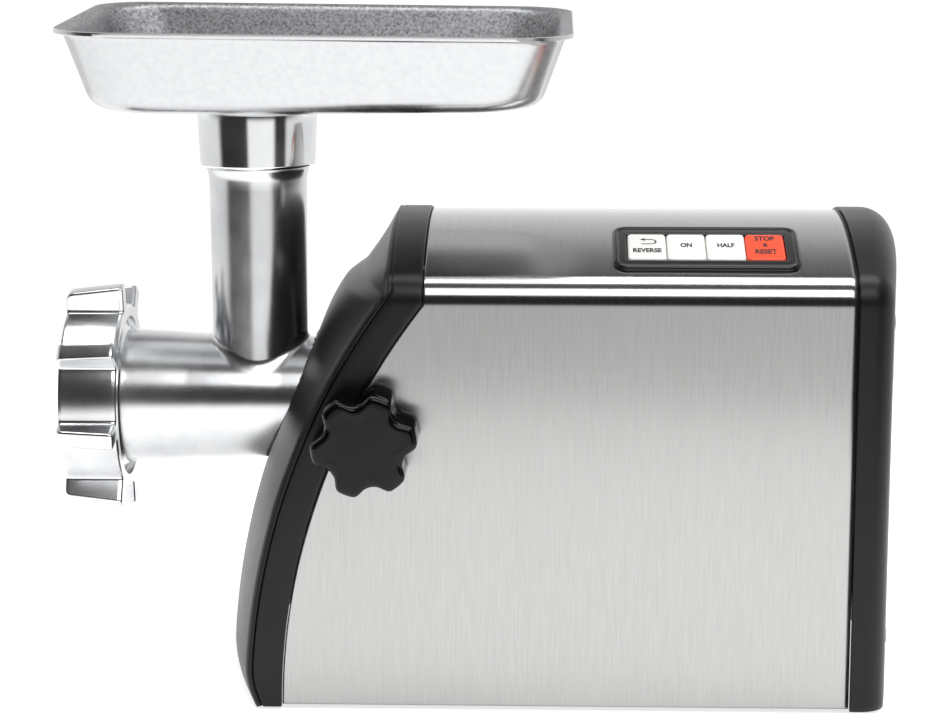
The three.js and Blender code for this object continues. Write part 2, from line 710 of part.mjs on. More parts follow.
function armatureShaft() {
  const gear = alongX(mesh1.pinion, STAGES[2].x - 1, STAGES[2].x + STAGES[2].width + 1);
  return join(gear, motorRod(SHAFT_R - 1, STAGES[2].x, SHAFT_END_X - 2, 16));
}

function armatureCore() {
  const slots = [];
  for (let i = 0; i < 10; i++) {
    const a = (i / 10) * 2 * Math.PI;
    const r = ARMATURE_R - 1;
    slots.push(motorRodAt(2, r * Math.cos(a), r * Math.sin(a)));
  }
  const core = motorRing(SHAFT_R - 1 + CLEAR, ARMATURE_R, STATOR_X + 2, STATOR_X + STATOR_L - 2, 30);
  const windings = motorRing(
    SHAFT_R - 1 + CLEAR,
    ARMATURE_R - 5,
    STATOR_X - 6,
    STATOR_X + STATOR_L + 6,
  );
  return join(cut(core, ...slots), windings);
}

function motorRodAt(r, dy, dz) {
  return rodX(r, STATOR_X - 10, STATOR_X + STATOR_L + 10, MOTOR.x + dy, MOTOR.y + dz, 6);
}

const FAN_X = GEARBOX_END + 6;

function coolingFan() {
  const hub = motorRing(SHAFT_R - 1 + CLEAR, 12, FAN_X, FAN_X + 9, 16);
  const disc = motorRing(10, 34, FAN_X, FAN_X + 1.5, 24);
  const blades = [];
  for (let i = 0; i < 9; i++) {
    const blade = new THREE.BoxGeometry(8, 22, 1.5);
    blade.translate(0, 22, 0);
    blade.rotateX((i / 9) * 2 * Math.PI);
    blade.translate(FAN_X + 5, MOTOR.x, MOTOR.y);
    blades.push(solid(blade));
  }
  return join(hub, disc, ...blades);
}

function statorCore() {
  const ring = motorRing(ARMATURE_R + 8, STATOR_R, STATOR_X, STATOR_X + STATOR_L, 36);
  const poles = [-1, 1].map((side) =>
    box(
      STATOR_X,
      STATOR_X + STATOR_L,
      side > 0 ? 20 : -STATOR_R + 4,
      side > 0 ? STATOR_R - 4 : -20,
      MOTOR.y - 12,
      MOTOR.y + 12,
    ),
  );
  const flats = [-1, 1].map((side) => {
    const z = MOTOR.y + side * (STATOR_R + 4);
    return box(STATOR_X - 1, STATOR_X + STATOR_L + 1, -60, 60, z - 8, z + 8);
  });
  return cut(join(ring, ...poles), motorRod(ARMATURE_R + 1, 0, 200, 36), ...flats);
}

function fieldCoil(side) {
  const outer = roundedRect(STATOR_L / 2 + 9, 21, 6, 3);
  const inner = roundedRect(STATOR_L / 2 + 1.5, 13, 3, 3);
  const ends = [outer, inner].map((points) => shifted(points, STATOR_X + STATOR_L / 2, MOTOR.y));
  const loop = cut(alongY(ends[0], 0, 50), alongY(ends[1], -10, 60));
  const band = meet(
    loop,
    motorRing(ARMATURE_R + 1.5, ARMATURE_R + 7.5, STATOR_X - 20, STATOR_X + STATOR_L + 20, 36),
  );
  return side > 0 ? band : band.mirror([0, 1, 0]);
}

function commutator() {
  return motorRing(SHAFT_R - 1 + CLEAR, 12, COMMUTATOR_X, COMMUTATOR_X + 14, 24);
}

function brush(side) {
  const near = 12 + CLEAR;
  const far = 28;
  const low = Math.min(side * near, side * far);
  return box(
    COMMUTATOR_X + 3,
    COMMUTATOR_X + 11,
    low,
    low + far - near,
    MOTOR.y - 3.5,
    MOTOR.y + 3.5,
  );
}

function motorBracket() {
  const wall = motorRing(13 + CLEAR, STATOR_R, BRACKET_X, BRACKET_X + 5, 36);
  const arms = [-1, 1].map((side) =>
    box(
      STATOR_X + STATOR_L + CLEAR,
      BRACKET_X + 1,
      side > 0 ? 35 : -43,
      side > 0 ? 43 : -35,
      MOTOR.y - 11,
      MOTOR.y + 11,
    ),
  );
  const holders = [-1, 1].map((side) => {
    const holder = box(
      COMMUTATOR_X,
      COMMUTATOR_X + 14,
      side > 0 ? 16 : -36,
      side > 0 ? 36 : -16,
      MOTOR.y - 7,
      MOTOR.y + 7,
    );
    const slot = box(
      COMMUTATOR_X + 3 - CLEAR,
      COMMUTATOR_X + 11 + CLEAR,
      side > 0 ? 10 : -28 - CLEAR,
      side > 0 ? 28 + CLEAR : -10,
      MOTOR.y - 3.5 - CLEAR,
      MOTOR.y + 3.5 + CLEAR,
    );
    return cut(holder, slot);
  });
  return join(wall, ...arms, ...holders);
}

// ---------------------------------------------------------------- grinding head
const RING_BACK_X = RING_FRONT_X + RING_L;
const LIP_T = 4;
const PLATE_X = RING_FRONT_X + LIP_T + CLEAR;
const HEAD_FRONT_X = PLATE_X + 3;
const SEAT_X = PLATE_X + PLATE_T + CLEAR;
const KNIFE_T = 9;
const KNIFE_X = PLATE_X + PLATE_T + CLEAR;
const AUGER_X = KNIFE_X + KNIFE_T + CLEAR;
const BORE_END_X = NECK_X - 6;
const AUGER_END_X = BORE_END_X - 2;
const AUGER_R = BARREL_BORE_R - 1;

function grinderHead() {
  const outside = turnedX(
    [
      [0, HEAD_FRONT_X],
      [THREAD_R, HEAD_FRONT_X],
      [THREAD_R, RING_BACK_X - 4],
      [BARREL_R + 3, RING_BACK_X - 3],
      [BARREL_R, RING_BACK_X],
      [(BARREL_R + BARREL_ROOT_R) / 2, TUBE_X - 34],
      [BARREL_ROOT_R, TUBE_X + 12],
      [BARREL_ROOT_R, NECK_X - 1],
      [NECK_R, NECK_X],
      [NECK_R, NECK_END_X],
      [0, NECK_END_X],
    ],
    28,
    0,
    BARREL_Z,
  );
  const tube = turnedZ(
    [
      [0, BARREL_Z],
      [TUBE_R, BARREL_Z],
      [TUBE_R, 167],
      [TUBE_R + 0.5, COLLAR_Z - 7],
      [COLLAR_R - 2.6, COLLAR_Z - 1.5],
      [COLLAR_R - 1.6, COLLAR_Z],
      [COLLAR_R, COLLAR_Z + 13],
      [COLLAR_R + 0.6, COLLAR_TOP - 1],
      [COLLAR_R, COLLAR_TOP],
      [0, COLLAR_TOP],
    ],
    28,
    TUBE_X,
    0,
  );
  // a cone hugging the foot of the tube softens its joint with the barrel
  const saddle = turnedZ(
    [
      [0, BARREL_Z],
      [TUBE_R + 9, BARREL_Z],
      [TUBE_R + 5, BARREL_Z + 26],
      [TUBE_R + 1.5, BARREL_Z + 33],
      [TUBE_R, BARREL_Z + 39],
      [0, BARREL_Z + 39],
    ],
    28,
    TUBE_X,
    0,
  );
  const saddleKept = meet(saddle, rodX(BARREL_ROOT_R + 4, -160, -70, 0, BARREL_Z, 28));
  const bore = turnedX(
    [
      [0, HEAD_FRONT_X - 1],
      [PLATE_R + CLEAR, HEAD_FRONT_X - 1],
      [PLATE_R + CLEAR, SEAT_X],
      [BARREL_BORE_R + 3, SEAT_X],
      [BARREL_BORE_R + 3, KNIFE_X + KNIFE_T + 1],
      [BARREL_BORE_R, KNIFE_X + KNIFE_T + 4],
      [BARREL_BORE_R, BORE_END_X],
      [12 + CLEAR, BORE_END_X + 4],
      [12 + CLEAR, NECK_END_X + 1],
      [0, NECK_END_X + 1],
    ],
    28,
    0,
    BARREL_Z,
  );
  const throat = rodZ(TUBE_BORE_R, BARREL_Z, COLLAR_TOP + 1, TUBE_X, 0, 24);
  const cup = rodZ(TRAY_NECK_R + CLEAR, COLLAR_Z + 4, COLLAR_TOP + 1, TUBE_X, 0, 24);
  const pin = box(HEAD_FRONT_X + 1, SEAT_X + 1, -1.5, 1.5, BARREL_Z + PLATE_R - 2, BARREL_Z + PLATE_R + 2);
  return join(cut(join(outside, tube, saddleKept), bore, throat, cup), pin);
}

const TRAY_NECK_R = COLLAR_R - 4;

// A screw blade: a straight bar wound round the axis.
function flight() {
  const length = AUGER_END_X - AUGER_X - 26;
  const turns = 3.25;
  const inner = 7;
  const geometry = new THREE.BoxGeometry(length, AUGER_R - inner, 4, 39, 1, 1);
  const wound = bent(geometry, (x, y, z) => {
    const share = x / length + 0.5;
    const a = 0.3 + share * turns * 2 * Math.PI;
    const r = y + (AUGER_R + inner) / 2;
    const grow = 1 - 0.25 * share;
    return [
      AUGER_X + 6 + share * (length - 4) + z * grow,
      r * Math.cos(a),
      BARREL_Z + r * Math.sin(a),
    ];
  });
  return solid(wound);
}

function auger() {
  const core = turnedX(
    [
      [0, AUGER_X],
      [13, AUGER_X],
      [10, AUGER_END_X - 24],
      [AUGER_R - 2, AUGER_END_X - 18],
      [AUGER_R - 2, AUGER_END_X - 4],
      [12, AUGER_END_X],
      [12, NECK_END_X - 2],
      [0, NECK_END_X - 2],
    ],
    16,
    0,
    BARREL_Z,
  );
  const nose = 5;
  const half = SQUARE / 2;
  const tail = box(NECK_END_X - 3, GEARBOX_X, -half, half, BARREL_Z - half, BARREL_Z + half);
  const drive = box(KNIFE_X, AUGER_X + 1, -nose, nose, BARREL_Z - nose, BARREL_Z + nose);
  const pivot = rodX(4, PLATE_X + 1, AUGER_X, 0, BARREL_Z, 14);
  return join(core, flight(), tail, drive, pivot);
}

function cuttingKnife() {
  const points = [];
  const blades = 4;
  for (let i = 0; i < blades; i++) {
    const a = (i / blades) * 2 * Math.PI;
    const corners = [
      [11, -0.75],
      [13, -0.42],
      [26, -0.2],
      [28, 0.04],
      [27, 0.22],
      [14, 0.3],
    ];
    for (const [r, turn] of corners) {
      const b = a + turn;
      points.push(vec(r * Math.cos(b), BARREL_Z + r * Math.sin(b)));
    }
  }
  const half = 5 + CLEAR;
  return cut(
    alongX(points, KNIFE_X, KNIFE_X + KNIFE_T),
    box(-220, -100, -half, half, BARREL_Z - half, BARREL_Z + half),
  );
}

function grindingPlate() {
  const disc = rodX(PLATE_R, PLATE_X, PLATE_X + PLATE_T, 0, BARREL_Z, 32);
  const holes = [rodX(4 + CLEAR, -220, -150, 0, BARREL_Z, 14)];
  const rows = [
    { r: 11.5, count: 5 },
    { r: 19.5, count: 9 },
    { r: 27.5, count: 13 },
  ];
  for (const { r, count } of rows)
    for (let i = 0; i < count; i++) {
      const a = (i / count) * 2 * Math.PI;
      holes.push(rodX(2.6, -220, -150, r * Math.cos(a), BARREL_Z + r * Math.sin(a), 6));
    }
  const notch = box(-220, -150, -2, 2, BARREL_Z + PLATE_R - 3, BARREL_Z + PLATE_R + 3);
  return cut(disc, ...holes, notch);
}

// The ring's outline: a round hub with upright grips, each rounded at its foot and its tip.
function ringOutline() {
  const half = GRIP_T / 2;
  const flank = [
    [half + 1.7, RING_HUB_R],
    [half + 0.5, RING_HUB_R + 0.5],
    [half, RING_HUB_R + 1.7],
    [half, RING_TIP_R - 1.2],
    [half - 1.2, RING_TIP_R],
  ];
  const mirrored = flank.map(([t, r]) => [-t, r]).reverse();
  const pitch = (2 * Math.PI) / LOBES;
  const footTurn = Math.asin((half + 1.7) / RING_HUB_R);
  const points = [];
  for (let i = 0; i < LOBES; i++) {
    const mid = (i + 0.5) * pitch + THREE.MathUtils.degToRad(RING_TURN);
    for (const [t, r] of flank.concat(mirrored)) {
      const a = mid - Math.asin(t / r);
      points.push(vec(r * Math.cos(a), r * Math.sin(a)));
    }
    for (const share of [0.25, 0.5, 0.75]) {
      const a = mid + footTurn + share * (pitch - 2 * footTurn);
      points.push(vec(RING_HUB_R * Math.cos(a), RING_HUB_R * Math.sin(a)));
    }
  }
  return points;
}

// The grips get lower towards the front, where their corners are rounded off.
function lockingRing() {
  const place = frame([0, 1, 0], [0, 0, 1], [RING_FRONT_X, 0, BARREL_Z]);
  const star = extruded(ringOutline(), RING_L, place);
  const taper = [
    [0, RING_FRONT_X - 1],
    [RING_TIP_R - GRIP_TAPER - 3, RING_FRONT_X - 1],
    [RING_TIP_R - GRIP_TAPER - 3, RING_FRONT_X],
    [RING_TIP_R - GRIP_TAPER - 0.9, RING_FRONT_X + 0.9],
    [RING_TIP_R - GRIP_TAPER, RING_FRONT_X + 3],
    [RING_TIP_R + 0.1, RING_BACK_X + 1],
    [0, RING_BACK_X + 1],
  ];
  const body = meet(star, turnedX(taper, 64, 0, BARREL_Z));
  const mouth = rodX(RING_MOUTH_R, -230, -150, 0, BARREL_Z, 32);
  const thread = rodX(THREAD_R + CLEAR, RING_FRONT_X + LIP_T, -150, 0, BARREL_Z, 32);
  return cut(body, mouth, thread);
}

// ---------------------------------------------------------------- feed tray
const TRAY_X = TRAY_LEFT_X + TRAY_L / 2;
const TRAY_FLOOR = TRAY_TOP - TRAY_DEPTH;

// [inset from the rim, height above the floor's underside] up the outside of the wall
const TRAY_PROFILE = [
  [26.4, 0],
  [20.4, 0.8],
  [15.9, 3.6],
  [13, 8],
  [4.2, TRAY_DEPTH - 3],
  [3, TRAY_DEPTH - 2.2],
  [0, TRAY_DEPTH - 2],
  [0, TRAY_DEPTH],
];

// A rounded rectangle whose sides move in with height as a profile of [inset, height] says.
function dished(profile) {
  const outline = roundedRect(TRAY_L / 2, TRAY_W / 2, TRAY_CORNER_R, 4);
  const steps = profile.length - 1;
  const shape = new THREE.Shape(outline);
  const geometry = new THREE.ExtrudeGeometry(shape, { depth: steps, steps, bevelEnabled: false });
  return solid(
    bent(geometry, (x, y, level) => {
      const [inset, height] = profile[Math.round(level)];
      const px = TRAY_X + x - Math.sign(x) * inset;
      const low = 1 - height / TRAY_DEPTH;
      const rise = Math.max(0, px - TUBE_X) * TRAY_FLOOR_RISE * low;
      return [px, y - Math.sign(y) * inset, TRAY_FLOOR + height + rise];
    }),
  );
}

function hopperTray() {
  const inside = TRAY_PROFILE.map(([inset, height], i) =>
    i < 3
      ? [inset + 1.5, height + TRAY_WALL]
      : [Math.max(inset, 4.2 - (height > TRAY_DEPTH - 1 ? 1 : 0)) + TRAY_WALL, height + 0.6],
  );
  const boss = turnedZ(
    [
      [0, COLLAR_TOP - 20],
      [TRAY_NECK_R, COLLAR_TOP - 20],
      [TRAY_NECK_R, COLLAR_TOP + CLEAR],
      [COLLAR_R - 0.5, COLLAR_TOP + CLEAR],
      [COLLAR_R - 0.5, COLLAR_TOP + 2],
      [COLLAR_R - 2, TRAY_FLOOR + 1],
      [0, TRAY_FLOOR + 1],
    ],
    24,
    TUBE_X,
    0,
  );
  const throat = rodZ(TRAY_NECK_R - 3, COLLAR_TOP - 30, TRAY_FLOOR + 10, TUBE_X, 0, 24);
  const pan = cut(dished(TRAY_PROFILE), dished(inside))
    .translate([-TUBE_X, 0, -TRAY_FLOOR])
    .rotate([TRAY_LEAN_X, TRAY_LEAN_Y, 0])
    .translate([TUBE_X, 0, TRAY_FLOOR]);
  return cut(join(pan, boss), throat);
}

// ---------------------------------------------------------------- assembly
place("housing_wrap", housingWrap(), STAINLESS);
place("front_cover", frontCover(), BLACK_ABS);
place("rear_cover", rearCover(), BLACK_ABS);
place("base_plate", basePlate(), BLACK_ABS);
for (const [name, x, y] of FEET) place(name, foot(x, y), RUBBER);
place("power_inlet", powerInlet(), GLOSS_BLACK);
const SIDE_NAMES = ["right", "left"];
SCREW_YS.forEach((y, i) =>
  SCREW_ZS.forEach((z, j) => {
    const name = "cover_screw_" + ["low", "high"][j] + "_" + SIDE_NAMES[i];
    place(name, screw(rearFaceX(y) - SCREW_SINK + CLEAR, y, z, 14, 1.9), STEEL);
  }),
);

place("control_bezel", controlBezel(), GLOSS_BLACK);
for (const [name, at, look] of KEYS) place(name, key(at), look);
place("control_board", controlBoard(), BOARD);

place("head_socket", headSocket(), CAST_ALU);
place("clamp_pad", clampPad(), NYLON);
place("knob_stud", knobStud(), STEEL);
place("knob", knob(), GLOSS_BLACK);

place("gearbox_housing", gearboxHousing(), CAST_ALU);
place("gearbox_cover", gearboxCover(), CAST_ALU);
CASE_SCREWS.forEach((p, i) => {
  place("gearbox_screw_" + (i + 1), screw(GEARBOX_END + CLEAR, p.x, p.y, 12, 1.3), STEEL);
});
place(
  "output_bearing",
  turnedX(ringProfile(DRIVE_R + CLEAR, BEARING_R, GEARBOX_X - 1, GEARBOX_X + 6), 32, 0, BARREL_Z),
  STEEL,
);
place("drive_shaft", driveShaft(), STEEL);
place("output_gear", wheel(STAGES[0], mesh3.wheel, OUTPUT, 9 + CLEAR), STEEL);
place(
  "second_pinion_shaft",
  pinionShaft(STAGES[0], mesh3.pinion, LAY_2, LAY_START_X, STAGES[1].x + STAGES[1].width + 2),
  STEEL,
);
place("second_gear", wheel(STAGES[1], mesh2.wheel, LAY_2, SHAFT_R + CLEAR), STEEL);
place(
  "first_pinion_shaft",
  pinionShaft(STAGES[1], mesh2.pinion, LAY_1, LAY_START_X, GEARBOX_END - 1),
  STEEL,
);
place("first_gear", wheel(STAGES[2], mesh1.wheel, LAY_1, SHAFT_R + CLEAR), NYLON);

place("armature_shaft", armatureShaft(), STEEL);
place("armature_core", armatureCore(), COPPER);
place("commutator", commutator(), COPPER);
place("cooling_fan", coolingFan(), NYLON);
place(
  "motor_bearing_front",
  motorRing(SHAFT_R - 1 + CLEAR, 13 - CLEAR, CASE_SPLIT, GEARBOX_END + 3),
  STEEL,
);
place("motor_bearing_rear", motorRing(SHAFT_R - 1 + CLEAR, 13, BRACKET_X, BRACKET_X + 5), STEEL);
place("stator_core", statorCore(), STEEL);
place("field_coil_right", fieldCoil(-1), COPPER);
place("field_coil_left", fieldCoil(1), COPPER);
place("brush_right", brush(-1), CARBON);
place("brush_left", brush(1), CARBON);
place("motor_bracket", motorBracket(), CAST_ALU);

place("grinder_head", grinderHead(), BRIGHT_ALU);
place("auger", auger(), CAST_ALU);
place("cutting_knife", cuttingKnife(), STEEL);
place("grinding_plate", grindingPlate(), STEEL);
place("locking_ring", lockingRing(), BRIGHT_ALU);
place("hopper_tray", hopperTray(), BRIGHT_ALU);

// the bottom centre of the whole machine becomes the origin
const knobFace = HALF_W + KNOB_STANDOFF + KNOB_T;
machine.position.set(
  -(RING_FRONT_X + REAR_X + REAR_DEPTH) / 2,
  (knobFace - HALF_W - COVER_PROUD) / 2,
  0,
);

const grinder = new THREE.Group();
grinder.add(machine);
export default grinder;
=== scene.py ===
# %% [markdown]
# # An electric meat grinder
# The mechanical model arrives as a fixed frame of named solids, in metres. This lesson gives it
# its looks: finely curved surfaces in place of the faceted ones, and a finish for each material.
# Everything is worked out in millimetres in the machine's own axes, where y = 0 is the middle of
# the body, z = 0 is the table and -X points to the grinding head, and is then moved into the frame.

# %% Frame
import math

import bpy
import numpy as np
from mathutils import Matrix, Vector


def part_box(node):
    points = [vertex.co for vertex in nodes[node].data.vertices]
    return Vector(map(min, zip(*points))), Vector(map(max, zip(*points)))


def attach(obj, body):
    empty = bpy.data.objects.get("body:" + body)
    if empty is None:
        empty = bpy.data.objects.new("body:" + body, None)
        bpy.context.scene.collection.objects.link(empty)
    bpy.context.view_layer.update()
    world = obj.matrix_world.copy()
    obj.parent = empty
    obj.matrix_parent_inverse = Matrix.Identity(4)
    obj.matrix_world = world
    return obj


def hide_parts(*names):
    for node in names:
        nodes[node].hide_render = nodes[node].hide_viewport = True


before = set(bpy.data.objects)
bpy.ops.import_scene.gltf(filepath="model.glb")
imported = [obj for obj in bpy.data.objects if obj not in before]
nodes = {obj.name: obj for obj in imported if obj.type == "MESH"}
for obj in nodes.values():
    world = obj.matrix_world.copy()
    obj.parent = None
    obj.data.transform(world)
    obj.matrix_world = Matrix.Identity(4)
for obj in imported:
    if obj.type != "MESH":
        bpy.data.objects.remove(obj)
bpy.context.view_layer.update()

# %% [markdown]
# The sizes that the lesson repeats, in millimetres. The body is a stainless wrap, 180 wide, that
# rises to soft bends and a shallow arch. A black cover closes each end, and the cast head leaves
# the front cover at the height of BARREL_Z.

# %% Sizes
HALF_W = 90  # half the wrap's width
SIDE_TOP = 196  # where the straight side ends and its bend begins
CROWN = 228  # top of the arch
BEND_R = 15
WRAP_BOTTOM = 2.5
COVER_PROUD = 1.5  # how far the covers stand out round the wrap
COVER_BOTTOM = 1.5
FRONT_CX = 228.5  # centre, at table height, of the two arcs of the front in the side view
BORDER_R = 318  # arc where the wrap meets the front cover
RIDGE_R = 334  # arc of the front cover's face
BORDER_TOP_X = -21.5  # where the border leaves its arc and goes straight up
REAR_X = 180.5  # where the rear cover begins
REAR_DEPTH = 24
REAR_BULGE = 8.5
REAR_ROUND = 12
JOINT_GAP = 0.3  # between the wrap and each cover
BARREL_Z = 134.4  # height of the barrel's axis
TUBE_X = -107.3  # place of the feed tube's axis

low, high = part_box("housing_wrap")
ORIGIN = np.array([high.x - (REAR_X - JOINT_GAP) / 1000, (low.y + high.y) / 2, 0.0])
print("machine axes start at", ORIGIN.round(5).tolist())

# %% [markdown]
# The arch's circle isn't given, so it is worked out: it touches the crown, and its centre is as far
# from the centre of the bend as the two radii differ.

# %% Arch
HALF_FLAT = HALF_W - BEND_R
TOP_GAP = CROWN - BEND_R
ARCH_Z = (TOP_GAP**2 - SIDE_TOP**2 - HALF_FLAT**2) / (2 * (TOP_GAP - SIDE_TOP))
ARCH_R = CROWN - ARCH_Z
BEND_END = math.atan2(SIDE_TOP - ARCH_Z, HALF_FLAT)
print("arch radius", round(ARCH_R, 2), "centre height", round(ARCH_Z, 2))

# %% [markdown]
# A few small tools build every surface. `sheet` turns grids of points into one mesh: each grid is a
# function of two parameters, and neighbours in the grid become the corners of a face. `dress`
# finishes the mesh, and `smoothed` does the same to a copy of a CAD solid. `turned` makes the grid
# of a shape from the lathe, and `punch` opens a round hole in a grid.

# %% Surface tools
MERGE_WITHIN = 0.00002  # metres between corners that become one
BEVEL_FROM = 40  # degrees between two faces, from which their edge is rounded


def placed(points):
    """Millimetres in the machine's axes to metres in the frame: scale, then add the origin."""
    return np.asarray(points, float) / 1000 + ORIGIN


def grid_faces(shape, around, along, keep, start):
    """Corners (i, j), (i+1, j), (i+1, j+1), (i, j+1) of every cell of a grid of vertices."""
    index = np.arange(shape[0] * shape[1]).reshape(shape)
    rows = index if not around else np.vstack([index, index[:1]])
    full = rows if not along else np.hstack([rows, rows[:, :1]])
    cells = np.stack([full[:-1, :-1], full[1:, :-1], full[1:, 1:], full[:-1, 1:]], -1)
    cells = cells.reshape(-1, 4) if keep is None else cells[keep]
    return cells + start


def linked(name, data):
    """A new object in the scene."""
    obj = bpy.data.objects.new(name, data)
    bpy.context.scene.collection.objects.link(obj)
    return obj


def sheet(name, grids, material, body, replaces=(), wall=0.0, sharp=35, bevel=0.0):
    """One smooth piece from grids of points (rows, columns, xyz) in millimetres, each a dictionary
    with its points, whether it closes around or along itself, and the cells it keeps. wall is a
    thickness added behind the surface; bevel rounds the edges that stay sharp."""
    points = []
    faces = []
    start = 0
    for grid in grids:
        p = np.asarray(grid["points"], float)
        faces.append(
            grid_faces(p.shape[:2], grid.get("around"), grid.get("along"), grid.get("keep"), start)
        )
        points.append(p.reshape(-1, 3))
        start += p.shape[0] * p.shape[1]
    mesh = bpy.data.meshes.new(name)
    mesh.from_pydata(placed(np.vstack(points)).tolist(), [], np.vstack(faces).tolist())
    return dress(linked(name, mesh), material, body, replaces, wall, sharp, bevel)


def dress(obj, material, body, replaces=(), wall=0.0, sharp=35, bevel=0.0):
    """Merges doubles, points the faces outwards, shades smooth up to an angle, and adds the wall,
    the bevel, the material and the body to ride on, and hides the solids that the piece stands for."""
    bpy.ops.object.select_all(action="DESELECT")
    bpy.context.view_layer.objects.active = obj
    obj.select_set(True)
    bpy.ops.object.mode_set(mode="EDIT")
    bpy.ops.mesh.select_all(action="SELECT")
    bpy.ops.mesh.remove_doubles(threshold=MERGE_WITHIN)
    bpy.ops.mesh.normals_make_consistent(inside=False)
    bpy.ops.object.mode_set(mode="OBJECT")
    obj.data.shade_smooth()
    obj.data.set_sharp_from_angle(angle=math.radians(sharp))
    obj.select_set(False)
    if wall:
        shell = obj.modifiers.new("wall", "SOLIDIFY")
        shell.thickness = wall / 1000
        shell.offset = -1
        shell.use_even_offset = False
    if bevel:
        edge = obj.modifiers.new("edge", "BEVEL")
        edge.width = bevel / 1000
        edge.segments = 2
        edge.limit_method = "ANGLE"
        edge.angle_limit = math.radians(BEVEL_FROM)
        edge.harden_normals = False
    obj.data.materials.clear()
    obj.data.materials.append(material)
    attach(obj, body)
    if replaces:
        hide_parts(*replaces)
    print(obj.name, len(obj.data.vertices), "points")
    return obj


def smoothed(name, source, material, body, sharp=30, bevel=0.3):
    """A merged copy of a CAD solid: its corners joined, curved faces shaded smooth, edges eased."""
    obj = linked(name, nodes[source].data.copy())
    return dress(obj, material, body, (source,), sharp=sharp, bevel=bevel)


def whole_cells(mask):
    """The cells of a grid whose four corners are all in the mask."""
    return mask[:-1, :-1] & mask[1:, :-1] & mask[1:, 1:] & mask[:-1, 1:]


def turned(rows, axis, centre, angles):
    """Rows of (place along an axis, radius) swept round it: r cos a and r sin a are added to the
    centre in the other two directions. Either number of a row may vary round the axis."""
    points = np.zeros((len(rows), len(angles), 3)) + centre
    one, two = [k for k in range(3) if k != axis]
    for row, (along, r) in zip(points, rows):
        row[:, axis] = along
        row[:, one] += r * np.cos(angles)
        row[:, two] += r * np.sin(angles)
    return points


def punch(points, centre, radius, axes, cells_from):
    """Opens a round hole in a grid: cells whose four corners all lie in the circle are dropped,
    and the corners left inside it move out along their own radius to the rim."""
    flat = points[..., axes]
    away = flat - np.array(centre)
    reach = np.hypot(away[..., 0], away[..., 1])
    near = (reach < radius) & cells_from
    moved = points.copy()
    scale = np.where(near, radius / np.maximum(reach, 1e-6), 1.0)
    for k, axis in enumerate(axes):
        moved[..., axis] = np.where(near, centre[k] + away[..., k] * scale, points[..., axis])
    return moved, ~whole_cells(near)


# %% [markdown]
# A material is a graph of nodes. `node` adds one node with its settings and links. `grain` lays a
# fractal pattern on a piece's own coordinates, so that it moves with the piece, and `texture` lets
# patterns colour the surface, vary its gloss and raise it.

# %% Shader tools
def srgb(hex_code):
    """An sRGB hex colour as linear RGBA: each channel c becomes ((c + 0.055) / 1.055) ** 2.4."""
    c = np.array([int(hex_code[i : i + 2], 16) for i in (1, 3, 5)]) / 255
    linear = np.where(c <= 0.04045, c / 12.92, ((c + 0.055) / 1.055) ** 2.4)
    return (*linear.tolist(), 1.0)


def node(tree, kind, settings=None, links=None):
    """Adds one node: settings are attributes or socket values by name, or a ramp's stops as
    (place, linear colour); links feed its sockets."""
    made = tree.nodes.new(kind)
    for key, value in (settings or {}).items():
        if key == "stops":
            elements = made.color_ramp.elements
            while len(elements) < len(value):
                elements.new(0.5)
            for element, (place, colour) in zip(elements, value):
                element.position = place
                element.color = colour
        elif isinstance(key, str) and hasattr(made, key):
            setattr(made, key, value)
        else:
            made.inputs[key].default_value = value
    for key, socket in (links or {}).items():
        tree.links.new(socket, made.inputs[key])
    return made


def material(name, **sockets):
    """A new material on a Principled shader with these socket values."""
    made = bpy.data.materials.new(name)
    made.use_nodes = True
    tree = made.node_tree
    shader = tree.nodes["Principled BSDF"]
    for key, value in sockets.items():
        shader.inputs[key.replace("_", " ")].default_value = value
    return made, tree, shader


def grain(tree, cycles, detail, roughness=0.55):
    """Fractal noise from 0 to 1 on object coordinates, with so many cycles a metre along X, Y
    and Z: one number for all three, or a triple."""
    place = node(tree, "ShaderNodeTexCoord").outputs["Object"]
    scale = (cycles,) * 3 if isinstance(cycles, (int, float)) else cycles
    scaled = node(
        tree, "ShaderNodeMapping", {"vector_type": "POINT", "Scale": scale}, {"Vector": place}
    )
    made = node(
        tree, "ShaderNodeTexNoise", {"Scale": 1.0, "Detail": detail, "Roughness": roughness},
        {"Vector": scaled.outputs["Vector"]},
    )
    return made.outputs["Fac"]


def texture(tree, shader, gloss, rough, relief, strength, depth, tint=None, stops=()):
    """Roughness that runs over the pair rough as the pattern gloss runs from 0 to 1, a bump of
    depth millimetres from the pattern relief, and colour stops (place, hex) along a tint."""
    if tint:
        stops = [(place, srgb(code)) for place, code in stops]
        colours = node(tree, "ShaderNodeValToRGB", {"stops": stops}, {"Fac": tint})
        tree.links.new(colours.outputs["Color"], shader.inputs["Base Color"])
    spread = node(
        tree, "ShaderNodeMapRange", {"To Min": rough[0], "To Max": rough[1]}, {"Value": gloss}
    )
    tree.links.new(spread.outputs["Result"], shader.inputs["Roughness"])
    bump = node(
        tree, "ShaderNodeBump", {"Strength": strength, "Distance": depth / 1000}, {"Height": relief}
    )
    tree.links.new(bump.outputs["Normal"], shader.inputs["Normal"])


print("mid grey is", round(srgb("#808080")[0], 4), "in linear light")

# %% [markdown]
# ## Finishes
# **Brushed stainless sheet** is rubbed with a belt round the body, so fine lines run up the sides
# and over the arch. They blur reflections across themselves, and a faint mottling shows where the
# belt pressed harder. Real lines are about 0.05 mm apart. Here they are drawn at about 0.3 mm, as
# coarse as they need to be to show.

